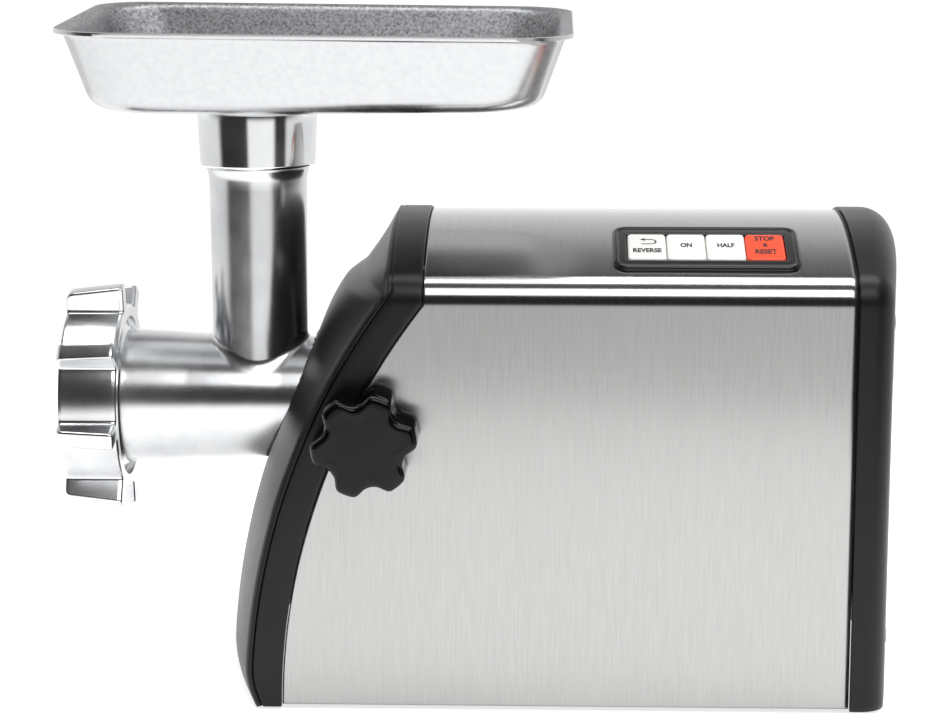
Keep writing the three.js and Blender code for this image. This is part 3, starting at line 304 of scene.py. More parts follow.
# %% Brushed metal
def brushed_metal(name, colour, dark, lines, rough, depth):
    """Metal with lines: noise squeezed along one axis tints and raises it, and the mean of that
    and a broad noise varies its gloss."""
    made, tree, shader = material(name, Metallic=1.0)
    fine = grain(tree, lines, 5.0, 0.6)
    broad = grain(tree, (14, 14, 5), 3.0)
    both = node(tree, "ShaderNodeMath", {"operation": "ADD"}, {0: fine, 1: broad})
    half = node(tree, "ShaderNodeMath", {"operation": "MULTIPLY", 1: 0.5}, {0: both.outputs[0]})
    spread = (rough - 0.07, rough + 0.07)
    stops = [(0.3, dark), (0.7, colour)]
    texture(tree, shader, half.outputs[0], spread, fine, 0.35, depth, fine, stops)
    return made


# Stainless sheet, belt-brushed: a light neutral grey with fine upright lines.
STAINLESS = brushed_metal(
    "stainless_steel_brushed", "#B4B4B3", "#A8A8A7", (3200, 60, 60), 0.2, 0.004
)
# The belt ran round the body, across the X axis, so reflections smear along X and stay crisp
# from top to bottom.
shader = STAINLESS.node_tree.nodes["Principled BSDF"]
shader.inputs["Anisotropic"].default_value = 0.8
shader.inputs["Anisotropic Rotation"].default_value = 0.25
round_x = node(STAINLESS.node_tree, "ShaderNodeTangent", {"direction_type": "RADIAL", "axis": "X"})
STAINLESS.node_tree.links.new(round_x.outputs["Tangent"], shader.inputs["Tangent"])
print("finish:", STAINLESS.name)

# %% [markdown]
# The inner metal parts are turned, ground, wound or stacked, and each of these leaves lines too.
# Real turning marks are 0.1 to 0.3 mm apart and show here at 0.6 to 0.7 mm.

# %% Turned and wound metal
# Steel, turned and ground: a cool mid grey with fine rings, glossy in streaks.
STEEL = brushed_metal("steel_turned_ground", "#B9BABC", "#9B9C9E", (1400, 70, 70), 0.3, 0.03)
# Electrical steel, stacked sheets: dull dark grey, striped across the stack.
LAMINATION = brushed_metal(
    "steel_laminated_core", "#8D8F92", "#5E6064", (1800, 60, 60), 0.45, 0.1
)
# Copper wire in clear enamel, wound: warm brown, with dark gaps between the strands.
COPPER = brushed_metal(
    "copper_enamelled_winding", "#C77B45", "#8E4D24", (900, 900, 900), 0.35, 0.1
)
# Copper bar, turned: bright pink-brown rings.
BRIGHT_COPPER = brushed_metal(
    "copper_turned_bar", "#D68B5C", "#B96C3E", (1500, 60, 60), 0.28, 0.03
)
print("finishes:", STEEL.name, LAMINATION.name, COPPER.name, BRIGHT_COPPER.name)

# %% [markdown]
# ** Cast and pressed aluminium.** The head is cast, turned and buffed, so it reflects like a mirror
# at the mouth of the tube and shows a slight orange peel elsewhere. The tray is pressed from sheet
# and tumbled: its outside is buffed again, and its dish keeps the blotches, on a darker grey that
# is painted shade. Inner parts stay as cast. Real tumbling pits are about 0.2 mm wide; here they
# are 0.7 to 0.8 mm, so that they show.

# %% Aluminium
def cast_metal(name, colour, dark, rough, peel, pits, speckle, clouds=38):
    """Cast or tumbled metal: clouds of noise tint it, and the clouds with a share speckle of fine
    pits vary its gloss and raise its skin."""
    made, tree, shader = material(name, Metallic=1.0)
    cloud = grain(tree, clouds, 5.0)
    fine = grain(tree, pits, 3.0)
    skin = node(
        tree, "ShaderNodeMath", {"operation": "MULTIPLY_ADD", 1: speckle}, {0: fine, 2: cloud}
    ).outputs[0]
    stops = [(0.3, dark), (0.62, colour)]
    texture(tree, shader, skin, (rough - 0.06, rough + 0.1), skin, 0.25, peel, cloud, stops)
    return made


# Turned and polished: crisp reflections, nearly a mirror.
MIRROR = cast_metal("aluminium_turned_mirror", "#EDEEEF", "#E2E3E5", 0.08, 0.01, 900, 0.1)
# Cast and buffed: bright, with reflections that waver a little.
HEAD_METAL = cast_metal("aluminium_cast_buffed", "#E6E7E8", "#D2D3D5", 0.15, 0.05, 2200, 0.6)
# Cast and wire-brushed: soft silver.
SATIN = cast_metal("aluminium_cast_satin", "#D8D9DA", "#C2C3C5", 0.27, 0.1, 1400, 0.5)
# Pressed, tumbled and buffed again: soft bands of light with a faint grain.
TRAY_METAL = cast_metal(
    "aluminium_pressed_tumbled", "#CBCCCD", "#C3C4C6", 0.17, 0.03, 1500, 0.8, 300
)
# Pressed and tumbled only, with dark speckles; its dull mid grey, darker than the tray's outside,
# is painted shade of the dish.
TRAY_TUMBLED_AND_SHADE = cast_metal(
    "aluminium_pressed_tumbled_inside_painted_shade", "#A2A3A5", "#5E5F61", 0.42, 0.08, 1300, 0.6, 700
)
# Straight from the mould: matt and grainy.
ROUGH_CAST = cast_metal("aluminium_as_cast", "#A9AAAB", "#8F9092", 0.5, 0.3, 700, 0.8)
# Steel plated with zinc: bluish silver, a little cloudy.
ZINC = cast_metal("steel_zinc_plated", "#B4B8BC", "#989DA3", 0.32, 0.04, 900, 0.5)
print("finishes:", MIRROR.name, HEAD_METAL.name, SATIN.name, TRAY_METAL.name, TRAY_TUMBLED_AND_SHADE.name)

# %% [markdown]
# **Moulded plastics** and the like take the texture of their mould. It is 0.1 to 0.3 mm fine on the
# real parts and 0.6 to 1.4 mm here, so that it shows. A slow cloudiness in the gloss keeps large
# faces from looking painted.

# %% Plastics and rubber
def moulded(name, colour, rough, pores, depth, strength, specular=0.5):
    """Plastic: a flat colour with a mould texture in the normal and a little cloudy gloss."""
    made, tree, shader = material(
        name, Base_Color=srgb(colour), IOR=1.5, Specular_IOR_Level=specular
    )
    fine = grain(tree, pores, 2.0)
    cloud = grain(tree, 30, 3.0)
    texture(tree, shader, cloud, (rough - 0.04, rough + 0.05), fine, strength, depth)
    return made


# ABS from a spark-eroded mould: black that scatters light into a soft grey sheen.
BLACK_ABS = moulded("abs_black_spark_textured", "#0D0D0E", 0.36, 1600, 0.03, 0.3, 0.33)
# ABS from a polished mould: deep black with small sharp highlights.
KNOB_ABS = moulded("abs_black_gloss_moulded", "#060607", 0.12, 900, 0.01, 0.1, 0.25)
# ABS from a satin mould: black with a broad soft highlight.
BEZEL_ABS = moulded("abs_black_satin_moulded", "#131314", 0.27, 1200, 0.02, 0.2)
# ABS coloured in the mass: slightly warm white, and a flat orange red.
WHITE_KEY = moulded("abs_white_moulded", "#F1F0EC", 0.35, 1500, 0.02, 0.15)
RED_KEY = moulded("abs_orange_red_moulded", "#FB4A20", 0.33, 1500, 0.02, 0.15)
# Pad-printing ink: nearly black and matt.
LEGEND = moulded("pad_print_dark_grey", "#161617", 0.5, 1500, 0.01, 0.1)
# Moulded rubber: black that hardly shines.
RUBBER = moulded("rubber_black_moulded", "#171717", 0.7, 1100, 0.06, 0.4)
# Nylon without pigment: milky yellow.
NYLON = moulded("nylon_natural_moulded", "#D9D4C3", 0.4, 900, 0.04, 0.2)
# Glass-epoxy board under green lacquer, with the weave just felt.
BOARD = moulded("circuit_board_green", "#1F5A3A", 0.4, 700, 0.05, 0.3)
# Pressed carbon: dark grey and powdery.
CARBON = moulded("carbon_graphite_pressed", "#29292B", 0.6, 800, 0.05, 0.4)
print("finishes:", len(bpy.data.materials))

# %% [markdown]
# ## Wrap
# The body's cross-section is a side that rises straight, a soft bend and a shallow arch. Both
# covers follow the same line, a little larger, so one function draws it.

# %% Cross-section
def section(grow, bottom, heights=None, side=60, bend=14, arch=64):
    """The outline (y, z) in order: straight side, bend arc, arch arc, then the same mirrored.
    grow moves it outwards everywhere."""
    z = np.linspace(bottom, SIDE_TOP, side) if heights is None else np.asarray(heights)
    up = np.column_stack([np.full(len(z), HALF_W + grow), z])
    a = np.linspace(0, BEND_END, bend)[1:]
    r = BEND_R + grow
    turn = np.column_stack([HALF_FLAT + r * np.cos(a), SIDE_TOP + r * np.sin(a)])
    b = np.linspace(BEND_END, math.pi / 2, arch // 2)[1:]
    r = ARCH_R + grow
    over = np.column_stack([r * np.cos(b), ARCH_Z + r * np.sin(b)])
    left = np.vstack([up, turn, over])
    left[-1, 0] = 0.0
    return left, np.vstack([left, left[-2::-1] * (-1, 1)])


def arc_x(radius, z, top_x):
    """A circle about (FRONT_CX, 0) in the side view, straight up once it reaches top_x."""
    x = FRONT_CX - np.sqrt(np.maximum(radius**2 - np.minimum(z, radius - 1) ** 2, 0))
    return np.minimum(x, top_x)


print("the border's foot is at x =", round(float(arc_x(BORDER_R, 0, BORDER_TOP_X)), 1))

# %% [markdown]
# The wrap is this line carried from the curved border in front to the rear cover, as a grid of
# (place on the line) by (share of the way back). Solidify gives it the sheet's 1 mm. The columns
# are closer together in front, where the stud's hole needs them.

# %% Wrap
PANEL_X = 110.9  # middle of the key panel along the body
PANEL_TURN = math.radians(18.3)  # and round the arch, towards the operator
WINDOW_HALF = (40, 19)  # the opening under the panel, along the body and round the arch
STUD_AT = (-48, BARREL_Z)
STUD_HOLE_R = 6.0

line = section(0, WRAP_BOTTOM, side=130)[1]
border = arc_x(BORDER_R, line[:, 1], BORDER_TOP_X)
stops = np.concatenate([
    np.linspace(0, 0.35, 70), np.linspace(0.355, 0.45, 8),
    np.linspace(0.46, 0.84, 30), np.linspace(0.85, 1, 10),
])
x = border[:, None] + (REAR_X - JOINT_GAP - border[:, None]) * stops[None, :]
y, z = (np.broadcast_to(line[:, [k]], x.shape) for k in (0, 1))
around = np.arctan2(-y, z - ARCH_Z) - PANEL_TURN
in_window = (abs(x - PANEL_X) < WINDOW_HALF[0]) & (abs(around * ARCH_R) < WINDOW_HALF[1])
in_window &= z > SIDE_TOP
wrap, kept = punch(np.stack([x, y, z], -1), STUD_AT, STUD_HOLE_R, [0, 2], y < -80)
sheet(
    "wrap", [{"points": wrap, "keep": kept & ~whole_cells(in_window)}], STAINLESS, "chassis",
    ("housing_wrap",), wall=1.0,
)

# %% [markdown]
# ## Front cover
# Its face leans back in an arc, swells forward across the middle and carries a hood under the
# crown.

# %% Face of the front cover
HOOD_BULGE, HOOD_SPREAD = 7, 28
FACE_BULGE = 14
FOOT_IN, FOOT_H = 6, 22  # how far the foot turns in, and the height over which it does


def face_x(across, z):
    """How far forward the face is: the side-view arc, less a bulge that fades over the arch and
    carries a hood as a bell curve about SIDE_TOP, plus a turned-in foot. across is 1 in the middle
    of the body and 0 on its outline."""
    edge = FRONT_CX - np.sqrt(RIDGE_R**2 - np.minimum(z, SIDE_TOP + 6) ** 2)
    hood = HOOD_BULGE * np.exp(-(((z - SIDE_TOP) / HOOD_SPREAD) ** 2))
    rise = np.clip((z - SIDE_TOP) / (CROWN - SIDE_TOP), 0, 1)
    foot = FOOT_IN * np.maximum(0, 1 - z / FOOT_H) ** 2
    return edge - (FACE_BULGE + hood) * (1 - rise) * across + foot


print("the face is fullest at x =", round(float(face_x(1.0, SIDE_TOP)), 1))

# %% [markdown]
# The face is rows across the body, one for each point of the half outline. A strip behind a fine
# groove follows the wrap's border: it is the outline carried backwards, and the groove gets
# shallower over the shoulder. The face's own edge is rounded by lowering the points next to it.

# %% Front cover
COLLAR_HOLE_R = 32.7
GROOVE_END = 2.6
# [behind the ridge, below the surface] from the ridge to the border
GROOVE = np.array([
    [-0.2, 0.5], [0.15, 0.9], [0.3, 1.5], [1.3, 1.5], [1.45, 0.6], [1.9, 0.12], [GROOVE_END, 0.0],
])
EDGE_LOWER, EDGE_WIDE = 1.4, 5

heights = np.linspace(COVER_BOTTOM, SIDE_TOP, 110)
half_line, line = section(COVER_PROUD, COVER_BOTTOM, heights, bend=18, arch=90)
ridge = face_x(0.0, line[:, 1])
border = arc_x(BORDER_R + JOINT_GAP, line[:, 1], BORDER_TOP_X - JOINT_GAP)
inward = np.column_stack([np.gradient(line[:, 1]), -np.gradient(line[:, 0])])
inward /= -np.linalg.norm(inward, axis=1)[:, None]
cut = 1 - 0.85 * np.clip((line[:, 1] - SIDE_TOP + 4) / 14, 0, 1)
rows = [(ridge + back, deep * cut) for back, deep in GROOVE]
span = border - ridge - GROOVE_END
rows += [(ridge + GROOVE_END + span * s, 0.0) for s in (0.3, 0.6, 0.85)]
rows += [(border - 0.8, 0.05), (border - 0.3, 0.3), (border, 0.9), (border, 2.6)]
strip = np.stack(
    [np.column_stack([x, line + inward * np.reshape(deep, (-1, 1))]) for x, deep in rows], axis=1
)
t = np.linspace(-1, 1, 121)
t = np.sign(t) * (1 - (1 - abs(t)) ** 1.15)
y = half_line[:, :1] * t[None, :]
z = np.broadcast_to(half_line[:, 1:], y.shape)
edge = (1 - abs(t))[None, :] * np.maximum(half_line[:, :1], 1) / EDGE_WIDE
crown = (CROWN + COVER_PROUD - z) / EDGE_WIDE
rounding = EDGE_LOWER * np.maximum(0, 1 - np.minimum(edge, crown)) ** 2
face = np.stack([face_x(1 - t[None, :] ** 2, z) + rounding - 1.2, y, z], -1)
face, face_kept = punch(face, (0, BARREL_Z), COLLAR_HOLE_R, [1, 2], np.ones(y.shape, bool))
sheet(
    "front_shell",
    [{"points": strip}, {"points": face, "keep": face_kept}],
    BLACK_ABS, "chassis", ("front_cover",), wall=2.0,
)

# %% [markdown]
# ## Rear cover
# The same outline runs back from the wrap, rounds over a radius of 12 and meets a face that is
# swollen in plan. Seven vents, the power inlet's opening and four screw wells are left open.

# %% Rear cover
def rear_x(y):
    """The rear face: a parabola across the body, fullest in the middle."""
    return REAR_X + REAR_DEPTH - REAR_BULGE * (y / HALF_W) ** 2


VENT_LOWS = 104 + 9 * np.arange(7)
VENT_H, VENT_HALF = 4, 34
INLET_AT, INLET_HALF = (-48, 62), (14.5, 11)
WELL_R = 4.4
levels = np.unique(np.concatenate([
    [COVER_BOTTOM, 51, 73], np.arange(4, 51, 2.0), np.arange(53, 73, 2.0), np.arange(75, 104, 2.0),
    VENT_LOWS, VENT_LOWS + 2, VENT_LOWS + VENT_H, np.arange(164, SIDE_TOP + 0.1, 2.0),
]))
half_line, line = section(COVER_PROUD, COVER_BOTTOM, levels, bend=16, arch=60)
inner_half, inner = section(COVER_PROUD - REAR_ROUND, COVER_BOTTOM, levels, bend=16, arch=60)
back_x = rear_x(inner[:, 0])
rows = [np.column_stack([np.full(len(line), REAR_X), line + (inner - line) * 0.08])]
rows += [np.column_stack([np.full(len(line), REAR_X + 0.6), line])]
for a in np.linspace(0, math.pi / 2, 12):
    x = back_x - REAR_ROUND * (1 - math.sin(a))
    rows.append(np.column_stack([x, line + (inner - line) * (1 - math.cos(a))]))
cheek = np.stack(rows, axis=1)
wide = inner_half[:, :1]
columns = np.unique(np.concatenate([
    np.linspace(-1, 1, 81), np.array([-34, 34, -62.5, -33.5]) / wide[0, 0],
]))
y = wide * columns[None, :]
z = np.broadcast_to(inner_half[:, 1:], y.shape)
back = np.stack([rear_x(y), y, z], -1)
mid_y = (y[:-1, :-1] + y[1:, 1:]) / 2
mid_z = (z[:-1, :-1] + z[1:, 1:]) / 2
open_cells = (abs(mid_y) < VENT_HALF) & np.any(
    [(mid_z > v) & (mid_z < v + VENT_H) for v in VENT_LOWS], axis=0
)
inlet_y, inlet_z = abs(mid_y - INLET_AT[0]), abs(mid_z - INLET_AT[1])
open_cells |= (inlet_y < INLET_HALF[0]) & (inlet_z < INLET_HALF[1])
back_kept = ~open_cells
for well_at in ((-72, 34), (-72, 186), (72, 34), (72, 186)):
    back, kept = punch(back, well_at, WELL_R, [1, 2], np.ones(y.shape, bool))
    back_kept &= kept
sheet(
    "rear_shell",
    [{"points": cheek}, {"points": back, "keep": back_kept}],
    BLACK_ABS, "chassis", ("rear_cover",), wall=2.4,
)

# %% [markdown]
# ## Grinding head
# The head is turned about the barrel's axis: its wall is one closed profile, outside, mouth and
# bore, swept round. A round hole on top takes the feed tube.

# %% Barrel
def eased(points, step):
    """Extra points along a line of points, at most step apart, so that it bends finely."""
    p = np.asarray(points, float)
    lengths = np.linalg.norm(np.diff(p, axis=0), axis=1)
    counts = np.maximum(1, np.ceil(lengths / step)).astype(int)
    parts = [
        p[i] + (p[i + 1] - p[i]) * np.linspace(0, 1, n, endpoint=False)[:, None]
        for i, n in enumerate(counts)
    ]
    return np.vstack(parts + [p[-1:]])


TUBE_HOLE_R = 21.8
ROUND = np.linspace(0, 2 * math.pi, 144, endpoint=False)
BARREL_LINE = np.array([
    [-177.5, 39.5], [-176.5, 36.5], [-173.5, 33.5], [-141.3, 31.85], [-95.3, 30.2], [-67, 30.2],
])
outer = [[-194.7, 38.8], [-194.0, 39.5], *BARREL_LINE.tolist()]
outer += [[-66.2, 29.6], [-66, 25.4], [-65, 25], [-30.5, 25], [-30, 24.5]]
bore = [[-30, 12.3], [-68, 12.3], [-72, 27], [-177.4, 27], [-180.4, 30], [-190.4, 30]]
bore += [[-190.4, 35.3], [-194.7, 35.3]]
profile = eased(outer + bore + outer[:1], 1.6)[:-1]
barrel = turned(profile, 0, (0, 0, BARREL_Z), ROUND)
closed = np.concatenate([barrel, barrel[:, :1]], 1)
barrel, kept = punch(closed, (TUBE_X, 0), TUBE_HOLE_R, [0, 1], closed[..., 2] > BARREL_Z + 5)
barrel_kept = np.vstack([kept, np.ones((1, kept.shape[1]), bool)])
print("barrel:", barrel.shape[0], "rows of", barrel.shape[1])

# %% [markdown]
# The feed tube is a second closed profile about its own upright axis. Its foot is draped over the
# barrel, with a small fillet that follows the saddle where two cylinders meet.

# %% Feed tube
TUBE_R, THROAT_R, FILLET = 23.6, 20.0, 3.2


def barrel_top(rho, radius=None):
    """Height of the barrel's skin above a circle of radius rho about the tube's axis."""
    x = TUBE_X + rho * np.cos(ROUND)
    r = np.interp(x, BARREL_LINE[:, 0], BARREL_LINE[:, 1]) if radius is None else radius
    return BARREL_Z + np.sqrt(np.maximum(r**2 - (rho * np.sin(ROUND)) ** 2, 0))


def round_tube(rows):
    """(radius, height) rows as circles about the tube's axis."""
    return turned([(z, r) for r, z in rows], 2, (TUBE_X, 0, 0), ROUND)


foot_out = barrel_top(TUBE_R + FILLET)
corner = barrel_top(TUBE_R)
tube_rows = []
for s in np.linspace(0, 1, 12):
    rho = (1 - s) ** 2 * (TUBE_R + FILLET) + 2 * s * (1 - s) * TUBE_R + s * s * TUBE_R
    z = (1 - s) ** 2 * foot_out + 2 * s * (1 - s) * (corner + 0.6) + s * s * (corner + FILLET)
    tube_rows.append((rho, z))
tube_rows += [(TUBE_R, 180), (23.75, 200), (23.9, 222), (24.1, 240), (24.2, 245), (24.6, 247.6)]
tube_rows += [(25.2, 249.4), (25.5, 250.6), (25.5, 251.2), (20, 251.2), (20, 200)]
tube_rows += [(THROAT_R, barrel_top(THROAT_R, 27.0)), (TUBE_R - 1, barrel_top(TUBE_R - 1, 27.3))]
sheet(
    "head",
    [
        {"points": barrel, "around": True, "keep": barrel_kept},
        {"points": round_tube(tube_rows), "along": True},
    ],
    HEAD_METAL, "head", ("grinder_head",), sharp=40,
)

# %% [markdown]
# The tube's mouth is a thicker collar that the lathe has finished, so it is a piece of its own,
# with a finish of its own.

# %% Collar
COLLAR = [(20, 251.2), (27.4, 251.2), (28.0, 251.4), (28.35, 251.9), (28.4, 252.8), (28.6, 257)]
COLLAR += [(29.0, 265), (29.4, 273), (29.6, 277.2), (29.5, 278.2), (29.1, 278.8), (28.6, 279)]
COLLAR += [(25.4, 279), (24.9, 278.5), (24.9, 256), (20, 255.6), (20, 251.2)]
sheet("head_collar", [{"points": round_tube(COLLAR), "along": True}], MIRROR, "head", sharp=40)

# %% [markdown]
# ## Locking ring
# A round hub carries eight upright grips. Half a grip is a line of (sideways, outwards) places:
# the fillet at its foot, the flank, the rounding at its tip. The line is mirrored and turned round
# the ring eight times.

# %% Outline of the ring
RING_FRONT, RING_BACK = -202, -173.5
HUB_R, TIP_R, GRIP_HALF, TAPER = 46, 59, 4.2, 3.4
GRIP_FOOT, GRIP_ROUND, FRONT_ROUND = 1.8, 1.2, 3  # radii of fillet, tip and front corner
RING_TURN = math.radians(-10.8)
quarter = np.linspace(0, math.pi / 2, 7)


def grip_rows(x, inset):
    """The ring's outline at x, moved in by inset: (angle, radius) of every point round it."""
    ahead = x - RING_FRONT
    corner = FRONT_ROUND - math.sqrt(FRONT_ROUND**2 - max(0.0, FRONT_ROUND - ahead) ** 2)
    tip = TIP_R - TAPER * (1 - ahead / (RING_BACK - RING_FRONT)) - corner - inset
    hub = HUB_R - inset
    half = GRIP_HALF - inset * 0.8
    sideways = np.concatenate([
        half + GRIP_FOOT - GRIP_FOOT * np.sin(quarter),
        half - GRIP_ROUND + GRIP_ROUND * np.cos(quarter),
    ])
    outwards = np.concatenate([
        hub + GRIP_FOOT - GRIP_FOOT * np.cos(quarter),
        tip - GRIP_ROUND + GRIP_ROUND * np.sin(quarter),
    ])
    sideways = np.concatenate([-sideways, [0.0], sideways[::-1]])
    outwards = np.concatenate([outwards, [tip], outwards[::-1]])
    turn = np.arcsin(sideways / outwards)
    between = np.linspace(turn[-1], math.pi / 4 + turn[0], 14)[1:-1]
    one_angle = np.concatenate([turn, between])
    one_radius = np.concatenate([outwards, np.full(len(between), hub)])
    mids = (np.arange(8) + 0.5) * math.pi / 4 + RING_TURN
    return (mids[:, None] + one_angle).ravel(), np.tile(one_radius, 8)


print("points round the ring:", len(grip_rows(RING_BACK, 0)[0]))

# %% [markdown]
# Rows of this outline make the outside, and the grips get lower towards the front. Circles make
# the mouth and the bore.

# %% Ring
# [x, in from the outline], then [x, radius]
OUTSIDE = [(-202, 1.0), (-201.8, 0.4), (-201.3, 0.1), (-200.6, 0), (-199.6, 0), (-198, 0)]
OUTSIDE += [(-188, 0), (-176, 0), (-174.3, 0.1), (-173.8, 0.4), (-173.5, 1.0)]
MOUTH = [(-173.5, 42), (-173.5, 39.8), (-198, 39.8), (-198, 31), (-201, 31), (-202, 32)]
MOUTH += [(-202, 36), (-202, 42)]
rows = [(x, *grip_rows(x, inset)) for x, inset in OUTSIDE]
angles = rows[0][1]
rows += [(x, angles, np.full(len(angles), float(r))) for x, r in MOUTH]
ring = np.stack([
    np.column_stack([np.full(len(turn), x), r * np.cos(turn), BARREL_Z + r * np.sin(turn)])
    for x, turn, r in rows
])
sheet(
    "ring", [{"points": ring, "around": True, "along": True}], HEAD_METAL, "ring",
    ("locking_ring",), sharp=38,
)

# %% [markdown]
# ## Feed tray
# The tray is a pressed dish with rounded corners and a turned rim, on a round neck. Each row of it
# is a rounded rectangle, or a blend from that to a circle about the neck, and the whole tray leans
# a little in its loose socket.

# %% Rows of the tray
TRAY_CX, TRAY_HL, TRAY_HW, TRAY_CORNER = -74.5, 122.0, 83.0, 27.0
TRAY_FLOOR, TRAY_DEPTH = 283, 40
TRAY_CLIMB = 0.022  # how steeply the floor rises away from the neck
TRAY_LEAN = np.array(
    Matrix.Rotation(math.radians(0.6), 3, "Y") @ Matrix.Rotation(math.radians(1.7), 3, "X")
)



def rounded_rectangle(half_x, half_y, r, side=40, corner=16):
    """Quarter circles joined by straight sides, anticlockwise; the same counts for every size."""
    t = np.linspace(0, math.pi / 2, corner)
    signs = [(1, 1), (-1, 1), (-1, -1), (1, -1)]
    arcs = [
        np.array([sx * (half_x - r), sy * (half_y - r)])
        + r * np.column_stack([np.cos(t + k * math.pi / 2), np.sin(t + k * math.pi / 2)])
        for k, (sx, sy) in enumerate(signs)
    ]
    share = (np.arange(1, side) / side)[:, None]
    sides = [arcs[k][-1:] + (arcs[(k + 1) % 4][:1] - arcs[k][-1:]) * share for k in range(4)]
    return np.vstack([part for pair in zip(arcs, sides) for part in pair])


rect = rounded_rectangle(TRAY_HL, TRAY_HW, TRAY_CORNER)
bearing = np.arctan2(rect[:, 1], TRAY_CX + rect[:, 0] - TUBE_X)


def tray_row(inset, height, toward=0.0, r=21.6):
    """The rim line moved in by inset; toward is the share of the way to a circle about the neck.
    The floor climbs a little away from the neck, less and less up the wall."""
    side = rounded_rectangle(TRAY_HL - inset, TRAY_HW - inset, TRAY_CORNER)
    x = (1 - toward) * (TRAY_CX + side[:, 0]) + toward * (TUBE_X + r * np.cos(bearing))
    y = (1 - toward) * side[:, 1] + toward * r * np.sin(bearing)
    climb = np.maximum(0, x - TUBE_X) * TRAY_CLIMB * (1 - height / TRAY_DEPTH) * (1 - toward)
    p = np.column_stack([x, y, np.full(len(x), float(height)) + climb])
    return (p - (TUBE_X, 0, 0)) @ TRAY_LEAN.T + (TUBE_X, 0, TRAY_FLOOR)


print("points round the tray:", len(bearing))

# %% [markdown]
# One closed profile runs down the outside, across the floor to the neck, down it and back up
# inside.

# %% Tray
FLOOR_INSET, WALL_ROWS = 27.4, np.linspace(0.1, 1, 9)
# [in from the rim line, above the floor]
down = [(0, 40), (0, 38.4), (0.3, 38.0), (2.6, 37.9), (3.4, 37.6), (4.0, 36.6), (4.5, 35)]
down += [(4.5 + 8.5 * s, 35 - 27 * s) for s in WALL_ROWS]
down += [(14.0, 5.8), (15.3, 4.0), (16.8, 2.5), (18.8, 1.3), (21.4, 0.5), (24.4, 0.1)]
down += [(FLOOR_INSET, 0)]
up = [(FLOOR_INSET, 1.8), (24.4, 1.9), (21.4, 2.3), (19.3, 3.1), (17.8, 4.4), (16.8, 6.1)]
up += [(15.3, 9)]
up += [(15.3 - 8.6 * s, 9 + 27 * s) for s in WALL_ROWS]
up += [(6.2, 37.4), (5.4, 38.6), (4.2, 39.4), (2.8, 39.9), (1.6, 40.1), (0.5, 40.2)]
# [radius, height], down the outside of the neck and up its bore
neck = [(28.0, 282.9), (28.1, 281.3), (28.1, 279.6), (27.8, 279.3), (24.6, 279.3), (24.6, 259.4)]
neck += [(24.2, 259), (22, 259), (21.6, 259.4), (21.6, 283.0), (22.4, 284.8)]
shares = (0.2, 0.4, 0.6, 0.8, 0.95)
rows = [tray_row(i, h) for i, h in down]
rows += [tray_row(FLOOR_INSET, 0, s, 28.0) for s in shares]
rows += list(turned([(z, r) for r, z in neck], 2, (TUBE_X, 0, 0), bearing))
rows += [tray_row(FLOOR_INSET, 1.8, s, 24.0) for s in shares[::-1]]
rows += [tray_row(i, h) for i, h in up]
tray = sheet(
    "tray", [{"points": np.stack(rows), "around": True, "along": True}], TRAY_METAL, "tray",
    ("hopper_tray",), sharp=40,
)

# %% [markdown]
# The inside of the dish keeps its tumbled grain, so it gets the second finish, whose darker grey is
# painted shade: the faces of the walls that look towards the middle, and those of the floor that
# look up.

# %% Inside of the dish
WALL_FROM, FLOOR_TO, LOOKS_UP = 4, 12, 0.6
# the second finish is the tumbled grain on a darker grey, painted shade inside the dish
tray.data.materials.append(TRAY_TUMBLED_AND_SHADE)
count = len(tray.data.polygons)
centre = np.zeros(count * 3)
facing = np.zeros(count * 3)
tray.data.polygons.foreach_get("center", centre)
tray.data.polygons.foreach_get("normal", facing)
centre = centre.reshape(-1, 3) - placed((TRAY_CX, 0, 0))
facing = facing.reshape(-1, 3)
inward = (centre[:, :2] * facing[:, :2]).sum(1) < 0
high = centre[:, 2] * 1000 - TRAY_FLOOR
floor_up = (facing[:, 2] > LOOKS_UP) & (high > 0) & (high < FLOOR_TO)
dish = (inward & (high > WALL_FROM)) | floor_up
tray.data.polygons.foreach_set("material_index", dish.astype(int))
print("faces inside the dish:", int(dish.sum()), "of", count)

# %% [markdown]
# ## Clamp knob
# A thick disc with six scooped hollows for the fingers. In the plane its outline is the nearer of
# a circle and six round bites, with the corners between them rounded by averaging. Rows of it
# shrink towards both faces, and the front is dished a little. A plain core closes the back.

# %% Knob
KNOB_X, KNOB_BACK, KNOB_FRONT = -48, -93, -117
BITE_AT, BITE_R, KNOB_R = 28.1, 8.5, 24.8
KNOB_TURN = math.radians(40)
CORE_R, STUD_R, CORE_END = 12.0, 4.3, -108

a = np.linspace(0, 2 * math.pi, 360, endpoint=False)
off = (a - KNOB_TURN + math.pi / 6) % (math.pi / 3) - math.pi / 6
inside = BITE_R**2 - (BITE_AT * np.sin(off)) ** 2
edge = np.where(inside > 0, BITE_AT * np.cos(off) - np.sqrt(np.maximum(inside, 0)), KNOB_R)
radius = np.minimum(KNOB_R, edge)
window = np.hanning(17)
around = np.concatenate([radius[-8:], radius, radius[:8]])
radius = np.convolve(around, window / window.sum(), "valid")

